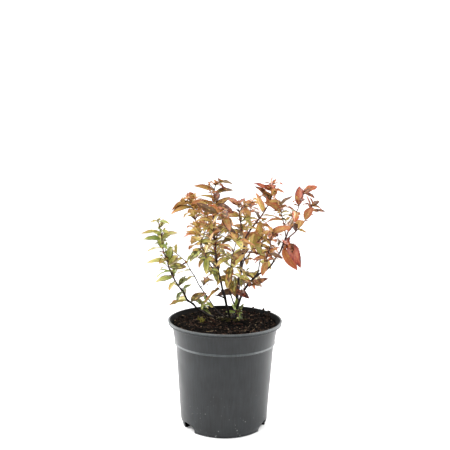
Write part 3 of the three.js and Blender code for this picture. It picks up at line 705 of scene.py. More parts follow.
def leaf_skin(leaf, detail, rng):
    """Rings of one leaf's skin, and the material slot of each of its quads."""
    t, under = ring_places(detail["across"])
    s, tooth = (column[:, None] for column in leaf_rows(detail["teeth"]))
    edge = np.abs(t)
    rib, run = leaf.rib(s)
    run = units(run)
    normal = units(np.cross(leaf.side, run))
    twist = (s - 0.3) * rng.uniform(-BLADE["twist"], BLADE["twist"])
    side = leaf.side * np.cos(twist) + normal * np.sin(twist)
    normal = np.cross(side, run)
    rib = rib - normal * leaf.length * rng.uniform(0, BLADE["curl"]) * s**3

    widest = leaf.length * LEAF["half"] * leaf.wide
    width = outline(s)
    full = min(1, leaf.length / BLADE["grown"])
    stem = BLADE["stem"] * full
    half = np.maximum(widest * width, stem * (1 - s))
    out = half * t * (1 + BLADE["tooth"] * tooth * edge**8)
    fold = BLADE["fold"] * rng.uniform(0.7, 1.3) * (1.2 - 0.6 * s)
    rise = half * fold * (np.sqrt(edge**2 + 0.02) - 0.14 - 0.35 * edge**4)
    wave = np.sin(2 * math.pi * (rng.uniform(1.4, 2.6) * s + rng.random()) + 0.6 * np.sign(t))
    rise = rise + BLADE["wave"] * widest * width * wave * edge**2 * rng.uniform(0.3, 1)
    vein = (s - BLADE["vein_lean"] * edge) * BLADE["veins"] % 1 - 0.5
    quilt = np.exp(-(vein / 0.2)**2) * np.minimum(1, 4 * edge) * (1 - edge**4)
    rise = rise - BLADE["vein_depth"] * widest * width * (quilt + 1.4 * np.exp(-(t / 0.1)**2))
    thick = BLADE["thickness"] * (1 - edge**6) + BLADE["rib"] * np.exp(-(t / 0.1)**2) * (1 - s)
    thick = np.where(s < 0.9 * STALK, 1.6 * stem * (1 - edge**2), thick * full)
    thick = np.where(np.arange(len(t)) < under, thick, 0)
    rings = rib[:, None] + side[:, None] * out[..., None] + normal[:, None] * (rise - thick)[..., None]

    middle = 0.5 * (t + np.roll(t, -1))
    place = s[:-1] + 0.5 / len(s)
    mottle = np.sin(7 * place + 3 * middle + 6 * rng.random()) * np.sin(11 * place - 4 * middle)
    veined = np.abs((place - BLADE["vein_lean"] * np.abs(middle)) * BLADE["veins"] % 1 - 0.5) < 0.17
    # Redder towards the tip, the margins and in gloom, the painted shade; greener along rib and veins.
    tint = (leaf.tint - 0.14 + rng.uniform(0.1, 0.34) * place**2 + 0.06 * mottle - 0.07 * veined
            + rng.uniform(0.05, 0.34) * np.abs(middle)**2 - 0.12 * (np.abs(middle) < 0.06)
            + 0.2 * leaf.gloom)
    back = np.arange(len(t)) < under - 1
    spots_and_shade, margin = rng.uniform(0.7, 1.2), rng.uniform(0.62, 1.08)
    # Some leaves, more of them in gloom, are mostly darkened as painted dappled shade.
    if rng.random() < DAPPLED_SHADE["least"] + DAPPLED_SHADE["gloom"] * leaf.gloom:
        spots_and_shade = rng.uniform(-1, -0.2)
    shaded = (mottle > (1 if leaf.large else spots_and_shade)) | (np.abs(middle) > margin)
    return rings, leaf_slots(tint, back, shaded, leaf.dark)


def leaf_slots(tint, back, shaded, dark):
    """The material slot of each quad: a tint of the upper side, its darker spots, margins and
    painted dappled shade, a dark leaf's (some in painted shade), or the underside's."""
    upper = np.clip(np.round(tint * (TINTS - 1)), 0, TINTS - 1).astype(int)
    half = TINTS // 2
    front = TINTS + half + upper // 2 if dark else np.where(shaded, TINTS + upper // 2, upper)
    return np.where(back, TINTS + 2 * half + upper // 2, front)


def foliage(name, full, small):
    """A mass's leaves as one mesh, the small ones with fewer faces."""
    rng = np.random.default_rng(len(full) * 31 + len(small))
    bundle = Bundle()
    for leaves, detail in ((full, FULL), (small, SMALL)):
        for leaf in leaves:
            bundle.add(*leaf_skin(leaf, detail, rng))
    return bundle.make(name, LEAF_MATERIALS, sharp=75)


# ---- materials ---------------------------------------------------------------------------


def linear(colour):
    """The linear colour of an sRGB one, given from 0 to 255."""
    return [c / 12.92 if c <= 0.04045 else ((c + 0.055) / 1.055)**2.4
            for c in (channel / 255 for channel in colour)]


def wire(material, made, inputs):
    """Sets a node's inputs to values, or links them to the outputs of other nodes."""
    for key, value in inputs.items():
        if isinstance(value, bpy.types.NodeSocket):
            material.node_tree.links.new(value, made.inputs[key])
        else:
            made.inputs[key].default_value = value


def node(material, kind, inputs={}, **settings):
    """The outputs of a new node."""
    made = material.node_tree.nodes.new(f"ShaderNode{kind}")
    for key, value in settings.items():
        setattr(made, key, value)
    wire(material, made, inputs)
    return made.outputs


def shade(material, inputs):
    """Sets or links the inputs of a material's shader."""
    wire(material, material.node_tree.nodes["Principled BSDF"], inputs)


def plain(name, inputs):
    """A new material with these inputs of its shader set."""
    material = bpy.data.materials.new(name)
    material.use_nodes = True
    shade(material, inputs)
    return material


def surface(name, colour, rough, bump, specular):
    """A plain colour with node-made roughness and bump. rough is (lowest, highest, scale)
    and bump is (height in mm, scale, strength)."""
    made = plain(name, {"Base Color": (*colour, 1), "Specular IOR Level": specular})
    low, high, scale = rough
    height, fine, strength = bump
    place = node(made, "TexCoord")["Object"]
    patches = node(made, "TexNoise", {"Vector": place, "Scale": scale, "Detail": 4})["Fac"]
    spread = node(made, "MapRange", {"Value": patches, "From Min": 0.3, "From Max": 0.7,
                                     "To Min": low, "To Max": high})
    grain = node(made, "TexNoise", {"Vector": place, "Scale": fine, "Detail": 6})["Fac"]
    relief = node(made, "Bump", {"Height": grain, "Distance": height * MM, "Strength": strength})
    shade(made, {"Roughness": spread["Result"], "Normal": relief["Normal"]})
    return made


def surfaces(rough, bump, specular, **colours):
    """Surfaces that differ in their name and sRGB colour alone."""
    return [surface(name, linear(colour), rough, bump, specular) for name, colour in colours.items()]


def ramp(stops, count):
    """count linear colours along stops of (share, sRGB colour)."""
    shares = [share for share, _ in stops]
    colours = np.array([linear(colour) for _, colour in stops])
    at = np.linspace(0, 1, count)
    return np.stack([np.interp(at, shares, channel) for channel in colours.T], axis=1)


# Leaves from green through olive and copper to dark red.
TURNING = [
    (0, (130, 152, 70)), (0.15, (158, 162, 82)), (0.3, (182, 170, 88)), (0.42, (182, 150, 80)),
    (0.55, (176, 122, 70)), (0.7, (168, 92, 58)), (0.82, (162, 70, 44)), (0.92, (130, 50, 38)),
    (1, (88, 38, 32)),
]
UNDERSIDE = dict(colour=(150, 126, 88), share=0.2)
PALER = 1.05  # an underside's own colour, as a share of the upper side's
SHADE = 0.3  # darker spots, margins and painted dappled shade, as a share of the tint's own brightness
DARK = 0.17  # tiny dark leaves at nodes, and low leaves in painted shade, likewise


def leaf_materials():
    """Materials for the upper side's tints, its darker spots and painted shade, dark leaves,
    undersides.
    """
    upper = ramp(TURNING, TINTS)
    pale = np.array(linear(UNDERSIDE["colour"]))
    share = UNDERSIDE["share"]
    banks = [("upper", upper, (0.28, 0.44, 90), 0.5),
             ("shade", upper[::2] * SHADE, (0.32, 0.5, 90), 0.45),
             ("dark", upper[::2] * DARK, (0.4, 0.65, 90), 0.45),
             ("under", upper[::2] * PALER * (1 - share) + pale * share, (0.6, 0.8, 90), 0.3)]
    return [surface(f"leaf_{bank}_{i:02d}", colour, rough, (0.12, 900, 0.5), specular)
            for bank, colours, rough, specular in banks for i, colour in enumerate(colours)]


LEAF_MATERIALS = leaf_materials()
BARK_TINTS = [(0, (14, 10, 9)), (0.4, (24, 16, 14)), (0.75, (48, 28, 23)), (1, (86, 46, 33))]
BARKS = 7
BARK_MATERIALS = [surface(f"bark_{i}", colour, (0.5, 0.8, 300), (0.25, 1500, 0.7), 0.25)
                  for i, colour in enumerate(ramp(BARK_TINTS, BARKS))]


# ---- bark --------------------------------------------------------------------------------

ROOT_DEPTH = 4  # a stem's foot below the soil's level
SLIM = 0.82  # a limb's mean radius, as a share of its solid's
BARK_STEP = 1.1  # from one ring of a limb to the next
RELIEF = 0.085  # the bark's relief, as a share of the radius
BARE_SEED = 5  # for a limb without foliage


def weave(rng, rows, columns, down, aside):
    """Smooth noise from -1 to 1 over a tube's rows and columns, closed round it, with a knot
    every so many rows down and columns aside."""
    knots = rng.uniform(-1, 1, (int(rows / down) + 2, max(2, round(columns / aside))))
    r = np.arange(rows) / down
    c = np.arange(columns) * knots.shape[1] / columns
    i, j = r.astype(int), c.astype(int)
    u, v = (r - i)[:, None], (c - j)[None]
    u, v = u * u * (3 - 2 * u), v * v * (3 - 2 * v)
    after = (j + 1) % knots.shape[1]
    near = knots[i][:, j] * (1 - v) + knots[i][:, after] * v
    far = knots[i + 1][:, j] * (1 - v) + knots[i + 1][:, after] * v
    return near * (1 - u) + far * u


def bark_tint(height, radius):
    """Older wood, low and thick, is darker."""
    return np.clip(0.1 + (height - SOIL["top"]) / 210 + (2.2 - radius) * 0.16, 0, 1)


def bark_slots(tint, relief, rng):
    """A bark material for each quad, between rows of the tube."""
    tints = tint[:-1, None] + 0.12 * relief[:-1] + rng.uniform(-0.07, 0.07, relief[:-1].shape)
    return np.clip(np.round(tints * (BARKS - 1)), 0, BARKS - 1).astype(int)


def swellings(limb, limbs, shares):
    """How much a limb swells where other limbs leave it."""
    swell = np.zeros(len(shares))
    distance = shares * limb.length
    for other in limbs.values():
        if other.wood.origin == limb.name:
            gap = distance - other.wood.at * limb.length
            swell += 0.22 * np.exp(-(gap / (1.6 * other.radius(0) + 1))**2)
    return swell


def limb_line(limb):
    """Shares, centres and radii along a limb; a foot flares and carries on into the soil."""
    shares = np.linspace(0, 1, max(3, round(limb.length / BARK_STEP)) + 1)
    centres = np.array([limb.at(share) for share in shares])
    radii = np.array([limb.radius(share) for share in shares]) * SLIM
    if limb.wood.origin is None:
        rise = np.maximum(0, 1 - shares * limb.length / FLARE["reach"])
        radii *= 1 + FLARE["share"] * rise**2
        depths = np.array([ROOT_DEPTH, ROOT_DEPTH / 2])[:, None]
        below = centres[0] - limb.along(0) * depths
        shares = np.concatenate([[0, 0], shares])
        centres = np.concatenate([below, centres])
        radii = np.concatenate([radii[:1] * 1.15, radii[:1] * 1.06, radii])
    return shares, centres, radii


def add_limb(bundle, limb, limbs, sides, rng):
    shares, centres, radii = limb_line(limb)
    rows = len(shares)
    ridges = weave(rng, rows, sides, 9, 1.6)
    flakes = weave(rng, rows, sides, 2.2, 2)
    relief = 0.6 * ridges + 0.4 * flakes
    swell = 1 + swellings(limb, limbs, shares) + 0.07 * weave(rng, rows, sides, 14, 5)[:, 0]
    point = np.minimum(1, (shares[-1] - shares) * limb.length / 1.5 + 0.25)
    radii = radii * swell * (point if limb.mass else 1)
    rings = tube(centres, radii, sides, 1 + RELIEF * relief)
    bundle.add(rings, bark_slots(bark_tint(centres[:, 2], radii), relief, rng))


def add_twig(bundle, ends, rng):
    """A fine twig with a slight kink and bow between its ends."""
    first, last = ends
    length = np.linalg.norm(last - first)
    steps = max(4, round(length / 2.5))
    u = np.linspace(0, 1, steps + 1)[:, None]
    bow = rng.normal(0, 0.035 * length, 3) * np.sin(math.pi * u)
    centres = first + (last - first) * u + bow
    radii = TWIG_RADIUS[0] + (TWIG_RADIUS[1] - TWIG_RADIUS[0]) * u[:, 0]
    radii = radii * (1 + 0.12 * rng.uniform(-1, 1, len(radii))) * 0.85
    relief = rng.uniform(-1, 1, (len(u), 6))
    tint = np.full(len(u), 0.85)
    bundle.add(tube(centres, radii, 6, 1 + 0.06 * relief), bark_slots(tint, relief, rng))


def add_bud(bundle, base, along, rng):
    """A small pointed bud against a twig."""
    size = rng.uniform(1.5, 2.6)
    u = np.array([0, 0.12, 0.35, 0.6, 0.85, 1])
    radii = size * 0.36 * np.array([0.5, 0.85, 1, 0.8, 0.38, 0.08])
    heading = unit(along + rng.normal(0, 0.45, 3))
    centres = base + heading * (u * size)[:, None]
    bundle.add(tube(centres, radii, 7), rng.integers(BARKS - 3, BARKS))


def bark(limb, limbs, sprigs, twigs):
    """The bark of a limb to its very tip, with its mass's twigs and buds."""
    rng = np.random.default_rng((limb.habit.seed if limb.mass else BARE_SEED) + 1)
    bundle = Bundle()
    add_limb(bundle, limb, limbs, 16 if limb.radius(0) > 2 else 12, rng)
    for ends in twigs:
        add_twig(bundle, ends, rng)
    for share, _, _ in sprigs.get(limb.mass, ()):
        along = limb.along(share)
        turn = rng.normal(0, 1, 3)
        out = unit(turn - along * along.dot(turn))
        add_bud(bundle, limb.at(share) + out * limb.radius(share) * 0.7, unit(along + out * 0.8), rng)
    if limb.mass:
        add_bud(bundle, limb.at(1), limb.along(1), rng)
    return bundle.make(f"bark_{limb.name}", BARK_MATERIALS, sharp=60)


# ---- soil --------------------------------------------------------------------------------

# Places on the soil as (x, y), with the reach of a patch of moss, of the painted shadow under the
# shrub, or of a strewing of white grains, and with how high the crumbs at the rim pile up.
MOSS = [(4, 8, 8), (16, 6, 6), (-6, 20, 6), (30, 14, 5), (-32, 4, 4)]
# A near-black patch of soil and crumbs under the shrub: a painted shadow.
SHRUB_SHADOW = (18, -10, 17)
WHITE_GRAINS = [(-6, 22, 14), (10, 30, 10)]
SPRIGLETS = [(-36, -2), (-33, 4), (-40, 10)]
RIM_CRUMBS = [(46, 52, 4), (52, 46, 4), (60, 38, 7), (64, 34, 4), (67, 29, 7), (70, 22, 5),
              (45, 70, 1), (60, 58, 3), (62, 57, 2), (68, 49, 2), (70, 47, 1)]
ON_LIP = 80  # from this radius on, crumbs lie on the pot's lip
LITTER_REACH, FIBRES_REACH, CRUMBS_REACH = 73, 74, 76
MOUND = (14, 19)  # the middle of the mound round the stems
SOIL_SIDES = 220
ROOTS_FOOT = 14  # the root ball's base, above the drain holes
LITTER = dict(seed=64, crumbs=1300, chips=60, fibres=45, lumps=170, grains=22, sprigs=7)

SOIL_DEEP_AND_SHADOW, SOIL_DARK, SOIL_BROWN, SOIL_MOSS = range(4)
SOIL_MATERIALS = surfaces(
    (0.8, 1, 400), (0.5, 900, 0.8), 0.02,
    soil_deep=(4, 3, 3), soil_dark=(10, 8, 7), soil_brown=(26, 20, 16), soil_moss=(27, 26, 12))
CRUMB_DARK, CRUMB, CHIP, FIBRE, GRAIN, MOSS_BIT, SPRIG_BIT, DEAD_LEAF = range(8)
LITTER_MATERIALS = surfaces(
    (0.7, 1, 300), (0.3, 900, 0.7), 0.05,
    crumb_dark=(10, 8, 7), crumb_brown=(46, 36, 30), chip_bark=(76, 60, 48), fibre_pale=(124, 108, 88),
    grain_white=(160, 154, 138), moss_olive=(52, 50, 24), sprig_yellow=(112, 106, 48),
    leaf_dead=(44, 27, 22))


def soil_radius(height):
    """The radius of the root ball, just inside the wall."""
    upper = COLLAR["radius"] - WALL
    slope = (COLLAR["neck"] - COLLAR["radius"]) / (POT_HEIGHT - LIP["drop"] - COLLAR["height"])
    return upper + slope * (height - COLLAR["height"]) - 1


def uneven(x, y, across, height, layer):
    """Smooth noise with humps so far across and so high."""
    return noise.noise(Vector((x / across, y / across, layer))) * height


def soil_height(x, y):
    """The soil's surface: nearly level, with humps and crumbs, and a groove at the wall."""
    r = math.hypot(x, y)
    level = SOIL["top"] - 0.9 + 0.012 * y - 0.4 * (r / 78)**4
    broad, lumps = uneven(x, y, 24, 1.4, 3.1), uneven(x, y, 7, 1.7, 8.4)
    crumbs = noise.fractal(Vector((x / 2.4, y / 2.4, 1.7)), 0.8, 2.1, 3) * 0.8
    groove = 5 * max(0, (r - 76 - 0.6 * lumps) / 1.6)**1.5
    mound = 1.4 * math.exp(-((x - MOUND[0])**2 + (y - MOUND[1])**2) / 300)
    return level + broad + lumps + crumbs + mound - groove


def on_soil(x, y, lift=0):
    """The point of the soil's surface at x and y."""
    return np.array([x, y, soil_height(x, y) + lift])


def distance_to(place, x, y):
    return np.hypot(x - place[0], y - place[1])


def soil_bed():
    """The root ball: a fine lumpy top, and a plain side and base inside the pot."""
    outer, heel = soil_radius(SOIL["edge_top"]), HEEL["radius"] - WALL
    radii = np.concatenate([np.linspace(0.6, 70, 76), np.linspace(71, outer, 8)])
    top = [[on_soil(x, y) for x, y in r * spokes(SOIL_SIDES)] for r in radii]
    walls = turned([(soil_radius(130) - 1.4, 124), (heel - 0.6, ROOTS_FOOT + 1),
                    (heel - 3, ROOTS_FOOT), (1, ROOTS_FOOT)], SOIL_SIDES)
    rings = np.array(top + walls)
    x, y, z = rings[:-1].transpose(2, 0, 1)
    wet = np.array([[uneven(a, b, 5, 1, 4) for a, b, _ in ring] for ring in rings[:-1]])
    # Soil low in the groove by the wall is near black as painted shade, and so are the side and base.
    slots = np.where(z < SOIL["top"] - 4.5, SOIL_DEEP_AND_SHADOW, SOIL_DARK)
    slots = np.where((slots == SOIL_DARK) & (wet > 0.12), SOIL_BROWN, slots)
    # Under the shrub the soil is near black, as a painted shadow.
    slots = np.where(distance_to(SHRUB_SHADOW, x, y) + 9 * wet < SHRUB_SHADOW[2], SOIL_DEEP_AND_SHADOW, slots)
    for patch in MOSS:
        blot = distance_to(patch, x, y) + 5 * wet * patch[2] / 6
        slots = np.where((blot < patch[2]) & (slots > SOIL_DEEP_AND_SHADOW), SOIL_MOSS, slots)
    bundle = Bundle()
    bundle.add(rings[:, ::-1], slots[:, ::-1])
    return bundle.make("soil_bed", SOIL_MATERIALS, sharp=180)


def add_lump(bundle, place, size, look, rng):
    """An uneven little stone-like lump of size (x, y, z) half-widths."""
    rows, sides = 6, 8
    polar = np.linspace(0.12, math.pi - 0.12, rows)[:, None]
    x, y = spokes(sides).T
    swell = 1 + 0.28 * weave(rng, rows, sides, 2, 2)
    points = np.stack([np.sin(polar) * x, np.sin(polar) * y, np.cos(polar) + 0 * x], axis=-1)
    points = points * swell[..., None] * size
    turn = np.array(Matrix.Rotation(rng.uniform(0, 6.28), 3, "Z")
                    @ Matrix.Rotation(rng.uniform(-0.5, 0.5), 3, "X"))
    bundle.add((points @ turn.T + place)[::-1], look)


def litter_spot(rng, reach=LITTER_REACH):
    """A point anywhere on the soil, within reach of its middle."""
    r, a = reach * math.sqrt(rng.random()), rng.uniform(0, 2 * math.pi)
    return on_soil(r * math.cos(a), r * math.sin(a))


def add_fibre(bundle, rng):
    """A thin bent thread on the soil, left out where it would come near the wall."""
    spot = litter_spot(rng)
    heading = rng.uniform(0, 2 * math.pi)
    length = rng.uniform(5, 16)
    u = np.linspace(-0.5, 0.5, 7)
    bend = rng.uniform(-0.3, 0.3) * length * (0.25 - u**2)
    x = spot[0] + length * u * math.cos(heading) - bend * math.sin(heading)
    y = spot[1] + length * u * math.sin(heading) + bend * math.cos(heading)
    if (np.hypot(x, y) >= FIBRES_REACH).any():
        return
    z = np.array([soil_height(a, b) for a, b in zip(x, y)]) + 0.6
    bundle.add(tube(np.stack([x, y, z], axis=1), np.full(7, rng.uniform(0.2, 0.5)), 5),
               rng.choice([CHIP, FIBRE, DEAD_LEAF]))


def drawn(rng, *spans):
    """A random number from each span."""
    return np.array([rng.uniform(*span) for span in spans])


def scatter(bundle, rng, count, spans, looks):
    """Lumps all over the soil, with half-widths in spans and one of the looks each."""
    for _ in range(count):
        size = drawn(rng, *spans)
        add_lump(bundle, litter_spot(rng), size, rng.choice(looks), rng)


def strew(bundle, rng, count, place, spread, span, shape, lift, look):
    """Lumps of one look and shape, with sizes in span, about a place on the soil."""
    for _ in range(count):
        x, y = rng.normal(place[0], spread[0]), rng.normal(place[1], spread[1])
        size = rng.uniform(*span) * np.array(shape)
        add_lump(bundle, on_soil(x, y, lift), size, look, rng)


def soil_litter():
    """Crumbs, chips, fibres, pale grains and moss that lie on the soil."""
    rng = np.random.default_rng(LITTER["seed"])
    bundle = Bundle()
    for _ in range(LITTER["crumbs"]):
        spot = litter_spot(rng, CRUMBS_REACH)
        size = rng.uniform(0.5, 1.6) * np.array([1, rng.uniform(0.6, 1), rng.uniform(0.5, 0.9)])
        # Crumbs in the painted shadow under the shrub are all dark.
        in_shrub_shadow = distance_to(SHRUB_SHADOW, *spot[:2]) < SHRUB_SHADOW[2]
        look = rng.choice([CRUMB_DARK, CRUMB, CHIP, FIBRE], p=[0.42, 0.4, 0.14, 0.04])
        add_lump(bundle, spot, size, CRUMB_DARK if in_shrub_shadow else look, rng)
    scatter(bundle, rng, LITTER["chips"], [(1.5, 3.2), (1, 1.8), (0.4, 0.8)],
            [CRUMB, CHIP, CHIP, DEAD_LEAF])
    for _ in range(LITTER["fibres"]):
        add_fibre(bundle, rng)
    scatter(bundle, rng, LITTER["lumps"], [(1.6, 3), (1.4, 2.6), (0.8, 1.7)],
            [CRUMB_DARK, CRUMB_DARK, CRUMB, DEAD_LEAF])
    for x, y, reach in WHITE_GRAINS:
        strew(bundle, rng, LITTER["grains"], (x, y), (reach / 2.4, reach / 4), (0.4, 0.95),
              (1, 0.9, 0.8), 0.3, GRAIN)
    for x, y, reach in MOSS:
        strew(bundle, rng, reach * reach, (x, y), (reach / 2, reach / 2), (0.5, 1.2), (1, 1, 0.8), 0.2,
              MOSS_BIT)
    for x, y in SPRIGLETS:
        for _ in range(LITTER["sprigs"]):
            foot = on_soil(x, y) + rng.normal(0, 1.5, 3) * (1, 1, 0)
            top = foot + np.array([*rng.normal(0, 2.2, 2), rng.uniform(3, 7)])
            line = foot + (top - foot) * np.linspace(0, 1, 4)[:, None]
            bundle.add(tube(line, np.array([0.5, 0.45, 0.35, 0.15]), 5), SPRIG_BIT)
    for x, y, rise in RIM_CRUMBS:
        base = POT_HEIGHT if math.hypot(x, y) > ON_LIP else soil_height(x, y)
        for level in np.arange(0.5, rise, 1.5):
            size = drawn(rng, (1.4, 2.4), (1.2, 2), (1, 1.6))
            place = np.array([x, y, base + level]) + rng.normal(0, 0.5, 3) * (1, 1, 0)
            add_lump(bundle, place, size, rng.choice([CRUMB_DARK, CRUMB, CRUMB]), rng)
    return bundle.make("soil_litter", LITTER_MATERIALS, sharp=60)


# ---- the pot -----------------------------------------------------------------------------

NOTCH = 26  # how far a drain hole reaches in under the pot
POT_SIDES = 180
FLECKS = dict(fade=3, few=0.36)  # how fast they shrink with height, and how few are large
PLAIN, PAINTED_HIGHLIGHT, INSIDE_SHADE = range(3)
POT_LOOKS = [  # name, and its sRGB darkest, lightest and fleck colours
    ("pot_plastic", (12, 14, 16), (28, 32, 35), (96, 98, 96)),
    # A lighter bead and rim edge, as a painted highlight.
    ("pot_painted_highlight", (62, 66, 67), (84, 88, 89), (110, 110, 102)),
    # The inside darker and duller, as painted shade, with soil-brown flecks.
    ("pot_inside", (10, 10, 10), (15, 14, 13), (44, 38, 32)),
]


def arc(centre, radius, first, last, steps):
    """Points of a profile's rounded corner, as (radius, height)."""
    return [(centre[0] + radius * math.cos(a), centre[1] + radius * math.sin(a))
            for a in map(math.radians, np.linspace(first, last, steps))]


def pot_profile():
    """The pot's section, from the middle of its base out, up, over the lip and back in."""
    foot, heel, low = HEEL["foot"], HEEL["radius"], HEEL["height"]
    band, flared, bead = COLLAR["radius"], COLLAR["neck"], COLLAR["height"]
    lip, mouth = LIP["radius"], LIP["radius"] - LIP["width"] + 1
    top, neck = POT_HEIGHT, POT_HEIGHT - LIP["drop"]
    step = band - COLLAR["step"]
    slope, flare = (step - heel) / (bead - low), (flared - band) / (neck - bead)
    wall = [(heel + slope * (h - low), h) for h in np.linspace(low + 1.5, bead - 2, 40)]
    collar = [(band + flare * (h - bead), h) for h in np.linspace(bead + 1.6, neck - 2, 12)]
    inner = [(r - WALL, h) for r, h in reversed(wall[::6] + collar)]
    return [
        (0, 1.2), (20, 1.2), (40, 1.1), (foot - 8, 1), (foot - 6, 0),
        *arc((foot - 1, 1), 1, -90, -10, 5),
        (foot + 0.3, 3), (foot + 0.5, 4), (heel - 0.3, low - 0.6),
        *wall,
        (step, bead - 1.9), (step + 0.9, bead - 1.5), *arc((band + 0.3, bead - 0.8), 0.7, -50, 40, 6),
        (band + 0.35, bead + 0.7),
        *collar,
        (flared, neck - 1), (flared + 0.6, neck - 0.2), (flared + 2, neck + 0.3),
        *arc((lip - 1.4, neck + 1), 0.7, -90, 0, 5),
        (lip - 0.7, neck + 2.6), *arc((lip - 0.9, neck + 3.1), 0.45, 250, 110, 5),
        *arc((lip - 1.1, top - 1.1), 1.1, -40, 90, 9),
        (lip - 2.4, top - 0.1), (mouth + 1.2, top - 0.3), *arc((mouth + 1, top - 1.3), 1, 90, 180, 6),
        (mouth - 0.3, neck + 3), (mouth - 1.2, neck + 0.6), (flared - WALL, neck - 1.5),
        *inner,
        (heel - WALL, low), (foot - WALL, 2.2), (0, 2.2),
    ]


def dented(r, z, spoke):
    """A radius of the thin wall, slightly uneven."""
    soft = noise.noise(Vector((*(1.3 * spoke), z / 60)))
    return r + 0.35 * soft * min(1, z / 20) * (r > 20)


def pot_slots(profile):
    """Plain plastic outside, a bead and rim edge made lighter as a painted highlight, and an
    inside made darker as painted shade, for each band of the profile."""
    slots = []
    inside = False
    for (r, z), (after, above) in zip(profile[:-1], profile[1:]):
        # The inside of the pot is darker, as painted shade.
        inside = inside or (z > POT_HEIGHT - 2 and after < LIP["radius"] - 3)
        bead = r > COLLAR["radius"] and COLLAR["height"] - 1.2 < above < COLLAR["height"] + 1.7
        # The bead and the rim's outer edge are lighter, as a painted highlight.
        highlit = bead or (r > LIP["radius"] - 1.3 and z > POT_HEIGHT - 5)
        slots.append(INSIDE_SHADE if inside else PAINTED_HIGHLIGHT if highlit else PLAIN)
    return np.array(slots)[:, None]


def turned_pot():
    profile = pot_profile()
    rings = [[(*(dented(max(r, 0.02), z, spoke) * spoke), z) for spoke in spokes(POT_SIDES)]
             for r, z in profile]
    bundle = Bundle()
    bundle.add(np.array(rings), pot_slots(profile))
    return bundle.make("nursery_pot", [plastic(*look) for look in POT_LOOKS], sharp=42)


def drain_cutter(azimuth):
    """An arch through the bottom corner of the wall."""
    half, spring = DRAIN["width"] / 2, DRAIN["height"] / 2
    arch = [(half * math.cos(a), spring + (DRAIN["height"] - spring) * math.sin(a))
            for a in np.linspace(0, math.pi, 25)]
    section = [(half, -3), (half, 0), *arch, (-half, 0), (-half, -3)]
    rings = [[(x, y, z) for y, z in section] for x in (HEEL["foot"] - NOTCH, HEEL["foot"] + 12)]
    bundle = Bundle()
    bundle.add(np.array(rings, float))
    cutter = bundle.make(f"cutter_{azimuth}")
    cutter.rotation_euler.z = math.radians(azimuth)
    return cutter


def cut_drains(pot):
    for azimuth in DRAIN["azimuths"]:
        cutter = drain_cutter(azimuth)
        cut = pot.modifiers.new(f"drain_{azimuth}", "BOOLEAN")
        cut.operation, cut.solver, cut.object = "DIFFERENCE", "EXACT", cutter
        bpy.context.view_layer.update()
        made = bpy.data.meshes.new_from_object(pot.evaluated_get(bpy.context.evaluated_depsgraph_get()))
        pot.modifiers.clear()
        pot.data = made
        bpy.data.objects.remove(cutter)


def tone(material, fac, stops):
    """The colour of a ramp through (position, sRGB colour)."""
    made = material.node_tree.nodes.new("ShaderNodeValToRGB")
    for end, (position, colour) in zip(made.color_ramp.elements, stops):
        end.position, end.color = position, (*linear(colour), 1)
    wire(material, made, {"Fac": fac})
    return made.outputs["Color"]


def plastic(name, darkest, lightest, flecked):
    """Dark grey plastic with faint dust and streaks, and flecks that shrink with height."""
    rough, specular = ((0.75, 0.95, 45), 0.12) if name == "pot_inside" else ((0.34, 0.42, 45), 0.36)
    made = surface(name, linear(darkest), rough, (0.03, 900, 0.3), specular)

    def times(factor, start, offset):
        inputs = {0: start, 1: factor, 2: offset}
        return node(made, "Math", inputs, operation="MULTIPLY_ADD")["Value"]

    place = node(made, "TexCoord")["Object"]
    dust = node(made, "TexNoise", {"Vector": place, "Scale": 38, "Detail": 8, "Roughness": 0.65})
    upright = node(made, "VectorMath", {0: place, 1: (1, 1, 0.07)}, operation="MULTIPLY")["Vector"]
    streaks = node(made, "TexNoise", {"Vector": upright, "Scale": 420, "Detail": 3})
    halved = node(made, "Math", {0: streaks["Fac"], 1: 0.5}, operation="MULTIPLY")["Value"]
    dusty = tone(made, times(0.5, dust["Fac"], halved), [(0.36, darkest), (0.66, lightest)])

    flecks = node(made, "TexVoronoi", {"Vector": place, "Scale": 260})
    height = node(made, "SeparateXYZ", {"Vector": place})["Z"]
    chance = node(made, "SeparateXYZ", {"Vector": flecks["Color"]})["X"]
    fewer = times(FLECKS["few"], chance, times(FLECKS["fade"], height, flecks["Distance"]))
    fleck = tone(made, fewer, [(0.25, flecked), (0.36, (0, 0, 0))])
    mixed = node(made, "Mix", {"Factor": 1, "A": dusty, "B": fleck}, data_type="RGBA",
                 blend_type="LIGHTEN")
    shade(made, {"Base Color": mixed["Result"]})
    return made


# ---- the stage, in metres ----------------------------------------------------------------

REACH = 3  # of the floor from its middle
FLOOR_GLOW = 0.08
BACKDROP = dict(behind=2.2, height=2.5, glow=1.2)
TENT = dict(profile=[(2.9, -0.1), (2.9, 1.5), (1.8, 2.7), (0.1, 3)], sides=24, glow=0.12)
LAMPS = [  # name, place, size and radiance
    ("left", (-1.25, 0.3, 0.5), (2, 1.2), 6.3),
    ("right", (1.25, 0.3, 0.5), (2, 1.2), 6),
    ("top", (-0.45, -0.25, 1.65), (1.7, 1.7), 3.6),
]
LAMPS_AIM = (0, 0, 0.2)
CAMERA = dict(place=(0, -0.9956, 0.4261), pitch=0.1240, roll=0.0127, lens=54.4, shift=-0.0028)


def sheet_of(name, points, faces, material):
    mesh = bpy.data.meshes.new(name)
    mesh.from_pydata(points, [], faces)
    mesh.materials.append(material)
    made = linked(name, mesh)
    return made


def glowing(name, strength):
    """A soft light of its own, for the stage alone."""
    return plain(name, {"Base Color": (0.2, 0.2, 0.2, 1), "Emission Color": (1, 1, 1, 1),
                        "Emission Strength": strength})


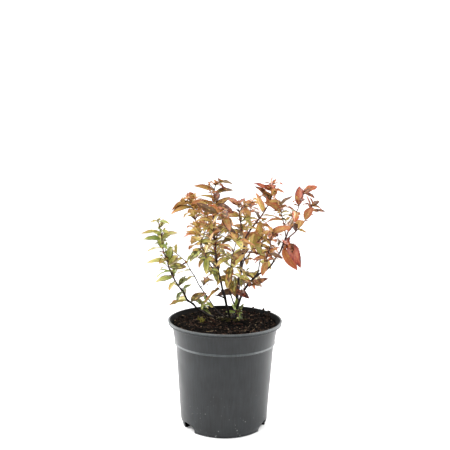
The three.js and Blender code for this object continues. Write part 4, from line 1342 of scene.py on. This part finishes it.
def floor():
    """A plain pale floor with a white backdrop, in a dim tent that the camera looks through."""
    pale = surface("floor_pale", (0.92, 0.92, 0.92), (0.8, 0.9, 3), (0.05, 60, 0.2), 0.1)
    shade(pale, {"Emission Strength": FLOOR_GLOW})
    sheet_of("floor", [(-REACH, -REACH, 0), (REACH, -REACH, 0), (REACH, REACH, 0), (-REACH, REACH, 0)],
             [(0, 1, 2, 3)], pale)
    far, high = BACKDROP["behind"], BACKDROP["height"]
    sheet_of("backdrop", [(-REACH, far, 0), (REACH, far, 0), (REACH, far, high), (-REACH, far, high)],
             [(0, 3, 2, 1)], glowing("backdrop_white", BACKDROP["glow"]))
    rings = np.array(turned(TENT["profile"], TENT["sides"]))
    tent = sheet_of("tent", rings.reshape(-1, 3).tolist(), ring_faces(*rings.shape[:2])[:-2],
                    glowing("tent_grey", TENT["glow"]))
    tent.visible_camera = False


def light():
    world = bpy.data.worlds.new("soft")
    world.use_nodes = True
    wire(world, world.node_tree.nodes["Background"], {"Color": (1, 1, 1, 1), "Strength": 1})
    bpy.context.scene.world = world
    for name, place, size, radiance in LAMPS:
        data = bpy.data.lights.new(name, "AREA")
        data.shape = "RECTANGLE"
        data.size, data.size_y = size
        data.energy = radiance * math.pi * size[0] * size[1]
        made = linked(name, data)
        made.location = place
        made.rotation_euler = (Vector(LAMPS_AIM) - Vector(place)).to_track_quat("-Z", "Y").to_euler()


def camera():
    data = bpy.data.cameras.new("camera")
    data.lens, data.sensor_width = CAMERA["lens"], 36
    data.shift_x = CAMERA["shift"]
    made = linked("camera", data)
    tilt = Matrix.Rotation(math.pi / 2 - CAMERA["pitch"], 4, "X")
    turn = tilt @ Matrix.Rotation(CAMERA["roll"], 4, "Z")
    made.matrix_world = Matrix.Translation(CAMERA["place"]) @ turn
    bpy.context.scene.camera = made
    bpy.context.scene.view_settings.view_transform = "Standard"


# ---- the shrub ---------------------------------------------------------------------------

GREEN = ("left left_thin left_low left_foot thin_low centre_low centre_mid main_mid right_low foot"
         " front_left").split()
RED = "right_top right_large right_outer main_top right_inner right_small".split()


def show(made, slot, *nodes):
    """Shows a piece in place of the nodes, on the only body. slot is not used."""
    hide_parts(*nodes)
    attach(made, "root")


def dress_pot():
    pot = turned_pot()
    cut_drains(pot)
    show(pot, "pot", "pot")
    show(soil_bed(), "soil", "soil")
    show(soil_litter(), "soil", "soil")


def leaf_slot(name):
    return "leaf_green" if name in GREEN else "leaf_red" if name in RED else "leaf_amber"


def dress_shrub():
    limbs = place_limbs()
    sprigs, taken = grow(limbs)
    kink(limbs, sprigs)
    for limb in limbs.values():
        full, small, twigs = finer(limb, sprigs[limb.mass], taken) if limb.mass else ([], [], [])
        show(bark(limb, limbs, sprigs, twigs), "bark", limb.name)
        if limb.mass:
            name = limb.wood.foliage
            show(foliage(f"foliage_{name}", full, small), leaf_slot(name), limb.mass)


dress_pot()
dress_shrub()
floor()
light()
camera()
